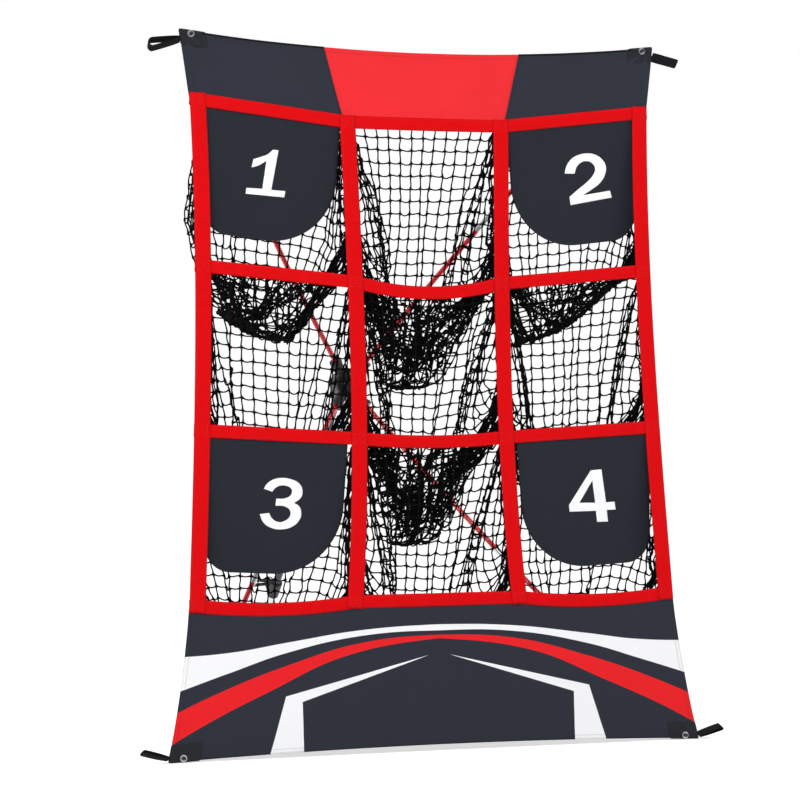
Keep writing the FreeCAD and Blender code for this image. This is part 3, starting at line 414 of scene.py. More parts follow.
plated_metal = moulded("plated_metal", (0.55, 0.55, 0.56), 0.3, 0.001, 0.00002, metal=1.0)
leg_paint = moulded("leg_paint", (0.020, 0.024, 0.060), 0.38, 0.0009, 0.00004, coat=0.2)
foot_rubber = moulded("foot_rubber", (0.014, 0.014, 0.014), 0.8, 0.0012, 0.00012)

HARD_FINISHES = {
    "pole_hub_half": pole_gloss_painted_light,
    "pole_tip_half": pole_gloss_painted_light,
    "pole_tip": nylon,
    "pole_ferrules": tube_metal,
    "corner_eyelets": plated_metal,
    "hub_body": nylon,
    "hub_cap": nylon,
    "hub_screws": plated_metal,
    "leg_pivot_pin": plated_metal,
    "leg_knuckle": nylon,
    "leg_tube": leg_paint,
    "leg_slider": tube_metal,
    "leg_clamp": nylon,
    "clamp_lever": nylon,
    "clamp_lever_pin": plated_metal,
    "rear_foot": foot_rubber,
}


def finish_hard_nodes():
    """Gives each hard node the finish of the longest name that it starts with."""
    done = 0
    for node, obj in frame["nodes"].items():
        names = [name for name in HARD_FINISHES if node.startswith(name)]
        if not names:
            continue
        obj.data.materials.clear()
        obj.data.materials.append(HARD_FINISHES[max(names, key=len)])
        done += 1
    return done


print("hard nodes finished:", finish_hard_nodes())

# %% [markdown]
# Most soft pieces start as a grid of points: rows down the piece and columns across it. The
# helper below turns such a grid into a mesh whose faces point forward, and writes each
# point's place on the flat cut, in metres, as its UV. A Solidify modifier then gives the
# cloth its back.


# %% Sheets from grids
def new_mesh(name, points, faces, cut=None, edges=()):
    """An object at the origin, with its place in its mesh."""
    mesh = bpy.data.meshes.new(name)
    mesh.from_pydata([tuple(p) for p in points], list(edges), faces)
    if cut is not None:
        layer = mesh.uv_layers.new(name="cut")
        corners = np.empty(len(mesh.loops), np.int32)
        mesh.loops.foreach_get("vertex_index", corners)
        layer.data.foreach_set("uv", np.asarray(cut, np.float32)[corners].ravel())
    mesh.shade_smooth()
    return linked(name, mesh)


def grid_faces(rows, columns, closed=False):
    """The four-sided faces of a grid, or of a tube when its columns close."""
    faces = []
    for i in range(rows - 1):
        for j in range(columns if closed else columns - 1):
            k = (j + 1) % columns
            faces.append((i * columns + j, (i + 1) * columns + j,
                          (i + 1) * columns + k, i * columns + k))
    return faces


def sheet_from_grid(name, grid, cut, thickness, front, back):
    """A cloth from a (rows, columns, 3) grid in the scene, with a front and a back finish."""
    rows, columns = grid.shape[:2]
    obj = new_mesh(name, grid.reshape(-1, 3), grid_faces(rows, columns), cut.reshape(-1, 2))
    obj.data.materials.append(front)
    obj.data.materials.append(back)
    solid = obj.modifiers.new("thickness", "SOLIDIFY")
    solid.thickness = thickness
    solid.offset = -1.0
    solid.material_offset = 1
    solid.material_offset_rim = 1
    return obj


# %% [markdown]
# The webbing gives the panel its shape. These sizes say where its middle lines run: the
# heights of the cross webs at the outer uprights, at the inner ones and in the middle, and
# how far the uprights stand apart at those heights. Between the crossings a web hangs in a
# smooth line.

# %% Lines of the webbing
CROSS_WEBS = {
    "top": (1.496, 1.454, 1.453),
    "upper": (1.116, 1.083, 1.059),
    "lower": (0.743, 0.722, 0.713),
    "base": (0.349, 0.349, 0.349),
}
LEVELS = list(CROSS_WEBS)
OUTER_X = (0.550, 0.546, 0.557, 0.577)
INNER_X = (0.191, 0.182, 0.182, 0.202)
BAY_SAG = {"top": 0.0, "upper": 0.0, "lower": 0.0, "base": 0.012}


def cross_height(level, x):
    """Height of a cross web's middle line at x."""
    outer, inner, middle = CROSS_WEBS[LEVELS[level]]
    far, near = OUTER_X[level], INNER_X[level]
    away = np.abs(np.asarray(x, float))
    share = (away - near) / (far - near)
    hang = BAY_SAG[LEVELS[level]] * 4 * share * np.maximum(0.0, 1 - share)
    side = inner + (outer - inner) * share - hang
    centre = inner + (middle - inner) * (1 - (away / near) ** 2)
    return np.where(away > near, side, centre)


def upright_fit(distances):
    """The smooth line through an upright's four crossings, as distance over height."""
    heights = [float(cross_height(i, distances[i])) for i in range(len(LEVELS))]
    return np.poly1d(np.polyfit(heights, distances, len(LEVELS) - 1))


outer_line = upright_fit(OUTER_X)
inner_line = upright_fit(INNER_X)
UPRIGHTS = (("outer", outer_line, OUTER_X), ("inner", inner_line, INNER_X))
print("uprights at mid height", [round(float(fit(0.9)), 3) for fit in (outer_line, inner_line)])

# %% [markdown]
# A strap is a flat oval swept along its line. Its ring of points is thinner at the two edges,
# as woven edges are, and a little noise keeps it from lying dead flat. Its cut runs along the
# strap, so the ribs of the finish lie across it.

# %% Straps
STRAP_RING = 7
EDGE_THINNING = 0.6
STRAP_NOISE = 9.0


def strap_rings(line, side_ways, forward, width, thickness, wobble=0.00015):
    """Rings of points round a flat strap: a front and a back row from edge to edge."""
    line = np.asarray(line, float)
    steps = np.linalg.norm(np.diff(line, axis=0), axis=1)
    along = np.concatenate([[0.0], np.cumsum(steps)])
    shares = np.linspace(-0.5, 0.5, STRAP_RING)
    plump = 1.0 - (2 * np.abs(shares)) ** 6 * EDGE_THINNING
    rings = []
    cuts = []
    for place, side, front, far in zip(line, side_ways, forward, along):
        ring = []
        cut = []
        for face, order in ((1, range(STRAP_RING)), (-1, range(STRAP_RING - 1, -1, -1))):
            for k in order:
                x, y, z = place * STRAP_NOISE
                lift = noise.noise(Vector((x, y, z + shares[k])))
                away = face * thickness / 2 * plump[k] + lift * wobble
                ring.append(place + side * (shares[k] * width) + front * away)
                cut.append((far, shares[k] * width))
        rings.append(ring)
        cuts.append(cut)
    return np.array(rings), np.array(cuts)


def strap(name, line, side_ways, forward, width, thickness, material):
    """A strap along a line in the scene, closed at both ends."""
    rings, cuts = strap_rings(line, side_ways, forward, width, thickness)
    rows, columns = rings.shape[:2]
    faces = grid_faces(rows, columns, closed=True)
    faces.append(tuple(range(columns)))
    faces.append(tuple(reversed(range((rows - 1) * columns, rows * columns))))
    obj = new_mesh(name, rings.reshape(-1, 3), faces, cuts.reshape(-1, 2))
    obj.data.materials.append(material)
    return obj


def unit(rows):
    return rows / np.linalg.norm(rows, axis=1)[:, None]


FORWARD = on_panel((0, -1, 0)) - on_panel((0, 0, 0))


def facing_strap(name, line, width, thickness, material):
    """A strap along a line in the scene, with its face turned the way that the panel faces."""
    side_ways = np.cross(FORWARD, unit(np.gradient(line, axis=0)))
    return strap(name, line, side_ways, [FORWARD] * len(line), width, thickness, material)


def panel_strap(name, x, z, width, front, material):
    """A web that lies on the panel along distances across and heights."""
    depth = np.full(len(x), front + WEB_T / 2)
    return facing_strap(name, on_panel(np.column_stack([x, depth, z])), width, WEB_T, material)


# %% Red webs
WEB_STEP = 0.008


def steps_between(low, high, step=WEB_STEP):
    return np.linspace(low, high, max(2, int(round((high - low) / step)) + 1))


def red_webs():
    """Four cross webs and, in front of them, four uprights."""
    made = []
    for level, name in enumerate(LEVELS):
        end = OUTER_X[level] + UPRIGHT_WEB_W / 2
        x = steps_between(-end, end)
        web = panel_strap("cross_webbing_" + name, x, cross_height(level, x), CROSS_WEB_W,
                          -WEB_T, red_webbing)
        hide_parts("cross_web_" + name)
        made.append(web)
    for kind, fit, distances in UPRIGHTS:
        top = float(cross_height(0, distances[0])) + CROSS_WEB_W / 2
        foot = float(cross_height(3, distances[3])) - CROSS_WEB_W / 2
        z = steps_between(foot, top)
        for side, side_name in SIDES:
            name = "%s_%s" % (kind, side_name)
            web = panel_strap("upright_webbing_" + name, side * fit(z), z, UPRIGHT_WEB_W,
                              -2 * WEB_T, red_webbing)
            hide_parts("upright_web_" + name)
            made.append(web)
    for web in made:
        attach(web, "frame")
    return made


webs = red_webs()
print("webs:", len(webs), "faces:", sum(len(web.data.polygons) for web in webs))

# %% [markdown]
# The cloth bands are stretched between the poles' tips and the webbing. Their free edges are
# hollow curves, because a stretched cloth pulls in between the points that hold it. The cloth
# is nearly flat: soft noise gives it the few shallow waves that show, and tension lines run
# out of the corners. Where it is sewn to the webbing it lies flat.

# %% Cloth bands
TOP_CORNER = (0.590, 1.655)
TOP_SAG = 0.034
RED_TOP_X = 0.243
RED_FOOT_X = 0.199
BOTTOM_CORNER = (0.652, 0.004)
BOTTOM_DRAW = 0.006
BOTTOM_RISE = 0.013
WAVE_DEPTH = 0.0030
BROAD_WAVES = (5.0, 9.0)
FINE_WAVES = (16.0, 22.0)
BROAD_SHARE = 0.75
PULL_LINES = 14.0
PULL_SHARE = 0.7
PULL_FADE = 0.10
PULL_START = 0.03
SEAM_EASE = 0.035
TOP_SEED = 2.0
BOTTOM_SEED = 11.0


def top_edge(x):
    """Height of the top edge, on the circle through both corners and the middle."""
    radius = (TOP_CORNER[0] ** 2 + TOP_SAG**2) / (2 * TOP_SAG)
    return TOP_CORNER[1] - TOP_SAG + radius - np.sqrt(radius**2 - np.asarray(x) ** 2)


def bottom_edge(x):
    share = np.asarray(x) / BOTTOM_CORNER[0]
    return BOTTOM_CORNER[1] + BOTTOM_RISE * (1 - share**2)


def bottom_side(height):
    """How far out the bottom band's side is at a height."""
    top_x = OUTER_X[3] + UPRIGHT_WEB_W / 2
    share = (BASE_WEB_MIDDLE - height) / (BASE_WEB_MIDDLE - BOTTOM_CORNER[1])
    return top_x + (BOTTOM_CORNER[0] - top_x) * share - BOTTOM_DRAW * 4 * share * (1 - share)


def waves(x, height, seed):
    """Shallow waves of a stretched cloth, from -1 to 1."""
    broad = noise.noise(Vector((x * BROAD_WAVES[0], height * BROAD_WAVES[1], seed)))
    fine = noise.noise(Vector((x * FINE_WAVES[0], height * FINE_WAVES[1], seed + 7.0)))
    return BROAD_SHARE * broad + (1 - BROAD_SHARE) * fine


def corner_pull(x, height, corner):
    """Tension lines that run out of a corner and die away."""
    dx, dz = corner[0] - abs(x), height - corner[1]
    away = math.hypot(dx, dz)
    angle = math.atan2(dz, dx)
    fade = math.exp(-away / PULL_FADE) * min(1.0, away / PULL_START)
    return math.sin(angle * PULL_LINES) * fade


def band_depth(x, z, web_height, seed, corner):
    """How far a band's front lies behind the panel: flat at the web, wavy away from it."""
    free = min(1.0, abs(z - web_height(x)) / SEAM_EASE)
    return WAVE_DEPTH * (waves(x, z, seed) + PULL_SHARE * corner_pull(x, z, corner)) * free


def band_grid(x_rows, z_rows, web_height, seed, corner):
    """The band's points in the scene."""
    depth = np.zeros(x_rows.shape)
    for i, j in np.ndindex(x_rows.shape):
        x, z = float(x_rows[i, j]), float(z_rows[i, j])
        depth[i, j] = band_depth(x, z, web_height, seed, corner)
    return on_panel(np.stack([x_rows, depth, z_rows], axis=-1))


def area_between(x, upper, lower):
    """Flat area between two edges, for the cloth's cut."""
    gap = upper - lower
    return float(np.sum((gap[1:] + gap[:-1]) / 2 * np.diff(x)))


# %% Top band
TOP_ROWS = 40
DARK_COLUMNS = 48
RED_COLUMNS = 60


def top_web_height(x):
    return float(cross_height(0, x))


def top_piece(name, top_x, foot_x, front, back):
    """A cloth between the top edge and the top web, and its flat area."""
    top_z, foot_z = top_edge(top_x), cross_height(0, foot_x)
    down = np.linspace(0, 1, TOP_ROWS)[:, None]
    x = top_x * (1 - down) + foot_x * down
    z = top_z * (1 - down) + foot_z * down
    grid = band_grid(x, z, top_web_height, TOP_SEED, TOP_CORNER)
    cloth = sheet_from_grid(name, grid, np.stack([x, z], axis=-1), CLOTH_T, front, back)
    return cloth, area_between((foot_x + top_x) / 2, top_z, foot_z)


def top_dark_side(side, name):
    """Dark cloth beside the red one: its inner edge slants and its outer edge leans in."""
    outer_foot = OUTER_X[0] + UPRIGHT_WEB_W / 2
    out = np.linspace(0, 1, DARK_COLUMNS)
    foot_x = RED_FOOT_X + (outer_foot - RED_FOOT_X) * out
    top_x = RED_TOP_X + (TOP_CORNER[0] - RED_TOP_X) * out
    if side < 0:
        foot_x, top_x = -foot_x[::-1], -top_x[::-1]
    cloth, area = top_piece("top_band_" + name, top_x, foot_x, navy_cloth, navy_back)
    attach(cloth, "frame")
    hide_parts("top_cloth_" + name)


def top_red_middle():
    """The red trapezoid in the middle, which is left bare."""
    across = np.linspace(-1, 1, RED_COLUMNS)
    cloth, area = top_piece("top_band_red", RED_TOP_X * across, RED_FOOT_X * across, red_cloth,
                            red_back)
    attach(cloth, "frame")
    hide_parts("top_red_panel")


for side, side_name in SIDES:
    top_dark_side(side, side_name)
top_red_middle()
print("top band made")


# %% Bottom band
BOTTOM_ROWS = 50
BOTTOM_COLUMNS = 130


def base_web_height(x):
    return float(cross_height(3, min(abs(x), OUTER_X[3])))


def bottom_band():
    """The printed band, with drawn-in sides and a lower edge that rises to the middle."""
    across = np.linspace(-1, 1, BOTTOM_COLUMNS)
    down = np.linspace(0, 1, BOTTOM_ROWS)[:, None]
    edge_z = bottom_edge(BOTTOM_CORNER[0] * across)
    z = BASE_WEB_MIDDLE * (1 - down) + edge_z * down
    x = across * bottom_side(z)
    grid = band_grid(x, z, base_web_height, BOTTOM_SEED, BOTTOM_CORNER)
    cloth = sheet_from_grid("bottom_band", grid, np.stack([x, z], axis=-1), CLOTH_T, band_print,
                            navy_back)
    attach(cloth, "frame")
    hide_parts("bottom_cloth")


bottom_band()
print("bottom band made")

# %% [markdown]
# Each numbered flap is sewn along its top edge, behind the web, and hangs plumb while the
# panel leans, so its foot stands a little behind the panel. One function gives a place on the
# flap for a share across and a share down, and the flap, its stitches and its number all use
# it.

# %% Flaps
FLAP_T = 0.0012
FLAP_FRONT = 0.0004
FLAP_SEAM_GAP = 0.005
FLAPS = {
    1: {"side": -1, "level": 0, "x": (0.207, 0.540), "drop": 0.300},
    2: {"side": 1, "level": 0, "x": (0.207, 0.540), "drop": 0.300},
    3: {"side": -1, "level": 2, "x": (0.209, 0.551), "drop": 0.318},
    4: {"side": 1, "level": 2, "x": (0.209, 0.551), "drop": 0.318},
}
INNER_TAPER = 0.022
INNER_ROUND = 0.160
OUTER_ROUND = 0.060
FOOT_EASE = 0.006
CREASE = 0.0012
CREASE_PITCH = (6.0, 34.0)
FLAP_BELLY = 1.6
FLAP_BELLY_PITCH = 5.0
FLAP_ROWS = 56
FLAP_COLUMNS = 44
FOOT_CROWDING = 2.2


class FlapShape:
    """Where a flap's cloth lies, for shares across (inner to outer) and down."""

    def __init__(self, side, level, x, drop):
        self.side = side
        self.x_in, self.x_out = x
        self.top_in, self.top_out = [float(cross_height(level, v)) - FLAP_SEAM_GAP for v in x]
        self.fall = drop - FOOT_EASE
        seam = Vector((side * (self.x_out - self.x_in), 0.0, self.top_out - self.top_in)) * side
        self.hinge = Vector((side * self.x_in, FLAP_FRONT + FLAP_T / 2, self.top_in))
        self.turn = Matrix.Rotation(LEAN, 3, seam.normalized())
        self.seed = 3.0 * level + side

    def rounded(self, height, radius):
        """How far a rounded corner draws the side in at a height over the foot."""
        if height >= radius:
            return 0.0
        return radius - math.sqrt(radius**2 - (radius - height) ** 2)

    def flat(self, across, down):
        """Distance from the middle of the panel and height, before the flap is turned plumb."""
        height = self.fall * (1.0 - down)
        left = self.x_in + INNER_TAPER * down + self.rounded(height, INNER_ROUND)
        right = self.x_out - self.rounded(height, OUTER_ROUND)
        x = left + (right - left) * across
        share = (x - self.x_in) / (self.x_out - self.x_in)
        return x, self.top_in + (self.top_out - self.top_in) * share - self.fall * down

    def crease(self, x, z):
        """Small level creases below the seam and a slow belly."""
        down = min(1.0, max(0.0, (self.top_in - z) / 0.3))
        level = noise.noise(Vector((x * CREASE_PITCH[0], z * CREASE_PITCH[1], self.seed)))
        belly = Vector((x * FLAP_BELLY_PITCH, z * FLAP_BELLY_PITCH, self.seed + 4.0))
        return CREASE * down * (level * (1.1 - down) + FLAP_BELLY * noise.noise(belly))

    def place(self, x, z, lift=0.0):
        """A place in the scene for a distance from the middle and a height on the flat flap."""
        depth = FLAP_FRONT - lift + self.crease(x, z)
        point = Vector((self.side * x, depth, z)) - self.hinge
        return on_panel(self.turn @ point + self.hinge)


def crowded(shares):
    """Shares down a flap that crowd towards its rounded foot."""
    return 1.0 - (1.0 - shares) ** FOOT_CROWDING


def flap_cloth_piece(number, shape):
    """The cloth of one flap."""
    grid = np.zeros((FLAP_ROWS, FLAP_COLUMNS, 3))
    cut = np.zeros((FLAP_ROWS, FLAP_COLUMNS, 2))
    for i, j in np.ndindex(FLAP_ROWS, FLAP_COLUMNS):
        across = j / (FLAP_COLUMNS - 1)
        if shape.side < 0:
            across = 1.0 - across
        cut[i, j] = shape.flat(across, crowded(i / (FLAP_ROWS - 1)))
        grid[i, j] = shape.place(*cut[i, j])
    name = "numbered_flap_%d" % number
    cloth = sheet_from_grid(name, grid, cut, FLAP_T, flap_cloth, flap_cloth)
    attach(cloth, "flap_%d" % number)
    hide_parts("flap_%d" % number)


flap_shapes = {number: FlapShape(**sizes) for number, sizes in FLAPS.items()}
for number, shape in flap_shapes.items():
    flap_cloth_piece(number, shape)
print("flaps:", len(flap_shapes))

# %% [markdown]
# The numbers are cut from a white film and pressed on the flaps. Each outline is a closed
# line of points in millimetres, measured from its lower left. A third value of 1 marks a
# point that the outline passes in a curve. Blender fills the outline, a grid of cuts makes
# its faces small, and then every point is laid on the flap's own surface.

# %% Outlines of the numbers
NUMBER_OUTLINES = {
    1: [
        [(79, 108), (66, 109.5), (53, 99, 1), (40, 94, 1), (19, 88), (14.5, 69),
         (31, 73.5, 1), (50, 84), (40, 20), (2, 22.5), (0, 9), (93, 0), (95.5, 14.5),
         (61.5, 17.5)],
    ],
    2: [
        [(1, 75), (3, 86, 1), (9, 99, 1), (20, 111, 1), (36, 119, 1), (58, 123, 1),
         (80, 120, 1), (98, 109, 1), (108, 93, 1), (106, 73, 1), (95, 55, 1), (76, 40, 1),
         (48, 23.5), (119, 34.5), (124, 18), (16, 0), (13, 19.5), (36.5, 38, 1), (60, 56, 1),
         (75, 72, 1), (80, 86, 1), (74, 98, 1), (59, 104.5, 1), (44, 101.5, 1),
         (32.5, 91.5, 1), (26.5, 74.5)],
    ],
    3: [
        [(10, 92.5), (18, 104, 1), (32, 113, 1), (52.5, 117, 1), (75, 114, 1),
         (94, 104.5, 1), (102, 89.5, 1), (98.5, 72.5, 1), (82, 60), (93.5, 53, 1),
         (99, 38.5, 1), (95, 22, 1), (79, 7, 1), (52.5, 0, 1), (26.5, 4, 1), (8.5, 16, 1),
         (0, 35), (22.5, 37.5), (28.5, 26, 1), (44, 17, 1), (59.5, 19.5, 1), (71.5, 29.5, 1),
         (72.5, 42, 1), (61.5, 51.5, 1), (37.5, 54), (39.5, 70), (61.5, 71, 1),
         (75.5, 80, 1), (75.5, 92, 1), (63, 99, 1), (47, 99, 1), (37.5, 94, 1), (30, 85.5)],
    ],
    4: [
        [(56, 122), (83.5, 124.5), (95.5, 46.5), (117.5, 48), (120.5, 29.5), (97.5, 28.5),
         (100.5, 1), (72.5, 0), (69.5, 26.5), (2, 24.5), (0, 39.5)],
        [(60, 98), (27, 45.5), (67.5, 45.5)],
    ],
}
# Lower left corner of each number on the panel, and how much a level line of it rises
NUMBER_PLACES = {
    1: (-0.436, 1.275, 0.022),
    2: (0.355, 1.272, 0.022),
    3: (-0.421, 0.518, -0.014),
    4: (0.342, 0.521, -0.014),
}
FILM_T = 0.00025
FILM_LIFT = 0.00008
CURVE_STEPS = 6
CUT_STEP = 0.004


# %% Numbers on the flaps
def filled_outline(loops):
    """A flat mesh of a number, from its outlines."""
    curve = bpy.data.curves.new("number", "CURVE")
    curve.dimensions = "2D"
    curve.fill_mode = "FRONT"
    curve.resolution_u = CURVE_STEPS
    for loop in loops:
        line = curve.splines.new("BEZIER")
        line.bezier_points.add(len(loop) - 1)
        line.use_cyclic_u = True
        for point, place in zip(line.bezier_points, loop):
            point.co = (place[0] / 1000, place[1] / 1000, 0.0)
            kind = "AUTO" if len(place) == 3 else "VECTOR"
            point.handle_left_type = kind
            point.handle_right_type = kind
    obj = linked("number", curve)
    graph = bpy.context.evaluated_depsgraph_get()
    mesh = bpy.data.meshes.new_from_object(obj.evaluated_get(graph))
    bpy.data.objects.remove(obj)
    bpy.data.curves.remove(curve)
    return mesh


def cut_fine(mesh):
    """Cuts the faces along a fine grid, so that they can follow a creased cloth."""
    work = bmesh.new()
    work.from_mesh(mesh)
    bmesh.ops.remove_doubles(work, verts=work.verts, dist=1e-6)
    for axis in (0, 1):
        normal = Vector((1 - axis, axis, 0))
        far = max(v.co[axis] for v in work.verts)
        for k in range(1, int(far / CUT_STEP) + 1):
            everything = work.verts[:] + work.edges[:] + work.faces[:]
            bmesh.ops.bisect_plane(work, geom=everything, plane_co=normal * (k * CUT_STEP),
                                   plane_no=normal)
    work.to_mesh(mesh)
    work.free()


def number_film(number, shape):
    mesh = filled_outline(NUMBER_OUTLINES[number])
    cut_fine(mesh)
    left, foot, rise = NUMBER_PLACES[number]
    for vertex in mesh.vertices:
        x, z = vertex.co.x, vertex.co.y
        vertex.co = Vector(shape.place(abs(left + x), foot + z + x * rise, FILM_LIFT))
    mesh.shade_smooth()
    mesh.materials.clear()
    mesh.materials.append(white_film)
    film = linked("number_%d" % number, mesh)
    solid = film.modifiers.new("thickness", "SOLIDIFY")
    solid.thickness = FILM_T
    solid.offset = 1.0
    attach(film, "flap_%d" % number)
    return film


films = [number_film(number, shape) for number, shape in flap_shapes.items()]
print("number faces:", [len(film.data.polygons) for film in films])

# %% [markdown]
# Each corner has a patch of two plies of stout black cloth, one in front and one behind. A
# ply is a ring of points round the eyelet's hole, carried out to the patch's four sloping
# sides, with a soft rounded edge. The pull loops are straps bent double that stand out of the
# corners. One is open and three are nearly flat, and each is rolled about its length by its
# own amount.

# %% Corner patches
PATCH_T = 0.0012
PATCH_SIZE = {"top": (0.064, 0.037), "bottom": (0.074, 0.040)}
PATCH_CORNER_R = 0.004
PATCH_OVERHANG = 0.001
PATCH_RISE = {"top": 0.003, "bottom": -0.002}
EYELET_PLACE = {
    "top": (TOP_CORNER[0] - 0.028, TOP_CORNER[1] - 0.009),
    "bottom": (BOTTOM_CORNER[0] - 0.035, BOTTOM_CORNER[1] + 0.008),
}
EYELET_HOLE_R = 0.0059
PATCH_RAYS = 96
RAY_REACH = 0.12
HALVINGS = 26


def top_side(height):
    """How far out the top band's side is at a height."""
    foot_x = OUTER_X[0] + UPRIGHT_WEB_W / 2
    share = (height - CROSS_WEBS["top"][0]) / (TOP_CORNER[1] - CROSS_WEBS["top"][0])
    return foot_x + (TOP_CORNER[0] - foot_x) * share


def patch_outline(level):
    """The four corners of a right-hand patch as (across, height)."""
    corner = np.array(TOP_CORNER if level == "top" else BOTTOM_CORNER)
    width, height = PATCH_SIZE[level]
    x = corner[0] - width
    if level == "top":
        along_edge = np.array((x, float(top_edge(x)))) - corner
        z = corner[1] - height
        along_side = np.array((top_side(z), z)) - corner
    else:
        along_edge = np.array((x, float(bottom_edge(x)))) - corner
        z = corner[1] + height
        along_side = np.array((float(bottom_side(z)), z)) - corner
    far = corner + np.array((PATCH_OVERHANG, PATCH_RISE[level]))
    return np.array([far, far + along_edge, far + along_edge + along_side, far + along_side])


def shrunk(corners, inset):
    """The outline with every corner moved inwards along both of its sides."""
    moved = []
    for i, corner in enumerate(corners):
        before = corners[i - 1] - corner
        after = corners[(i + 1) % len(corners)] - corner
        before /= np.linalg.norm(before)
        after /= np.linalg.norm(after)
        across = abs(before[0] * after[1] - before[1] * after[0])
        moved.append(corner + (before + after) * inset / across)
    return np.array(moved)


def ray_to_outline(corners, centre, angle, radius):
    """Where a ray from the centre meets the outline with rounded corners."""
    inner = shrunk(corners, radius)
    direction = np.array((math.cos(angle), math.sin(angle)))
    low, high = 0.0, RAY_REACH
    for _ in range(HALVINGS):
        middle = (low + high) / 2
        point = centre + direction * middle
        if distance_outside(inner, point) < radius:
            low = middle
        else:
            high = middle
    return centre + direction * low


def turned(a, b):
    """More than 0 where the second direction turns left from the first."""
    return a[0] * b[1] - a[1] * b[0]


def distance_outside(corners, point):
    """Distance of a point to a convex outline, 0 inside it."""
    best = None
    inside = True
    turn = np.sign(turned(corners[1] - corners[0], corners[2] - corners[1]))
    for i, a in enumerate(corners):
        b = corners[(i + 1) % len(corners)]
        if turned(b - a, point - a) * turn < 0:
            inside = False
        share = np.clip(np.dot(point - a, b - a) / np.dot(b - a, b - a), 0.0, 1.0)
        gap = np.linalg.norm(point - a - share * (b - a))
        best = gap if best is None else min(best, gap)
    return 0.0 if inside else float(best)


def patch_ply(name, level, side, front):
    """One ply: rings from the eyelet's hole out over its front and back again behind."""
    corners = patch_outline(level)
    hole = np.array(EYELET_PLACE[level])
    angles = np.linspace(0, 2 * math.pi, PATCH_RAYS, endpoint=False)
    edge = np.array([ray_to_outline(corners, hole, a, PATCH_CORNER_R) for a in angles])
    rim = hole + EYELET_HOLE_R * np.column_stack([np.cos(angles), np.sin(angles)])
    middle_depth = front + PATCH_T / 2
    # share of the way out, and the ply's half thickness there
    profile = [(0.0, 0.80), (0.03, 1.0), (0.2, 0.96), (0.4, 1.0), (0.6, 0.96), (0.8, 1.0),
               (0.93, 1.0), (0.985, 0.75), (1.0, 0.3)]
    rings = []
    for face in (-1, 1):
        for share, half in profile if face < 0 else profile[::-1]:
            flat = rim + (edge - rim) * share
            depth = np.full(PATCH_RAYS, middle_depth + face * half * PATCH_T / 2)
            rings.append(np.column_stack([side * flat[:, 0], depth, flat[:, 1]]))
    grid = np.array(rings)
    if side < 0:
        grid = grid[:, ::-1]
    count = len(rings)
    faces = grid_faces(count, PATCH_RAYS, closed=True)
    for j in range(PATCH_RAYS):
        k = (j + 1) % PATCH_RAYS
        last = (count - 1) * PATCH_RAYS
        faces.append((last + j, j, k, last + k))
    cut = grid.reshape(-1, 3)[:, [0, 2]]
    ply = new_mesh(name, on_panel(grid).reshape(-1, 3), faces, cut)
    ply.data.materials.append(patch_cloth)
    return ply


def merged(objects, name):
    """One object from several, which are removed."""
    work = bmesh.new()
    for obj in objects:
        work.from_mesh(obj.data)
    mesh = objects[0].data.copy()
    work.to_mesh(mesh)
    work.free()
    mesh.name = name
    for obj in objects:
        source = obj.data
        bpy.data.objects.remove(obj)
        bpy.data.meshes.remove(source)
    return linked(name, mesh)


CORNERS = [(level, side) for level in ("top", "bottom") for side in (-1, 1)]


def corner_name(level, side):
    return "%s_%s" % (level, "left" if side < 0 else "right")


for level, side in CORNERS:
    plies = [patch_ply("ply", level, side, front) for front in (-PATCH_T, CLOTH_T)]
    patch = merged(plies, "patch_" + corner_name(level, side))
    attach(patch, "frame")
    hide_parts("corner_patch_" + corner_name(level, side))
print("patches made, each with", len(patch.data.polygons), "faces")

# %% Pull loops
LOOP_W = 0.022
LOOP_T = 0.0016
LOOP_END_R = 0.0135
LOOP_REACH = 0.062
LOOP_TILT = {"top": -0.014, "bottom": 0.016}
LOOP_ROLL = {("top", -1): 31.0, ("top", 1): -52.0, ("bottom", -1): 24.0, ("bottom", 1): 28.0}
# Half of how far each loop's two strands stand apart at its end
LOOP_OPEN = {
    ("top", -1): 0.0135, ("top", 1): 0.0040, ("bottom", -1): 0.0040, ("bottom", 1): 0.0045,
}
ARC_STEPS = 22
STRAND_STEPS = 16
STRAND_BOW = 0.0011
ROOT_GAP = 0.55
ROLL_OVER = 0.03


def loop_ends(level, opening):
    """Root and middle of the round end of a right-hand loop, as (across, height)."""
    if level == "top":
        height = EYELET_PLACE["top"][1] - LOOP_END_R
        root = np.array((top_side(height) + PATCH_OVERHANG, height))
        return root, root + np.array((LOOP_REACH, LOOP_TILT["top"]))
    height = EYELET_PLACE["bottom"][1]
    root = np.array((float(bottom_side(height)) + PATCH_OVERHANG, height))
    return root, root + np.array((LOOP_REACH - opening, LOOP_TILT["bottom"]))


def drop_line(root, end, radius):
    """A line from the root round the end and back, with its strands a little bowed."""
    axis = end - root
    reach = np.linalg.norm(axis)
    tilt = math.acos(radius / reach)
    heading = math.atan2(axis[1], axis[0])
    first = heading + math.pi - tilt
    around = [first - (2 * tilt) * k / ARC_STEPS for k in range(ARC_STEPS + 1)]
    arc_points = [end + radius * np.array((math.cos(a), math.sin(a))) for a in around]
    inset = LOOP_T * ROOT_GAP
    up = np.array((-axis[1], axis[0])) / reach
    start, finish = root + up * inset, root - up * inset
    out, back = [], []
    for k in range(STRAND_STEPS):
        bow = up * STRAND_BOW * math.sin(math.pi * k / STRAND_STEPS)
        out.append(start + (arc_points[0] - start) * k / STRAND_STEPS + bow)
    for k in range(1, STRAND_STEPS + 1):
        bow = up * STRAND_BOW * math.sin(math.pi * k / STRAND_STEPS)
        back.append(arc_points[-1] + (finish - arc_points[-1]) * k / STRAND_STEPS - bow)
    return np.array(out + arc_points + back)


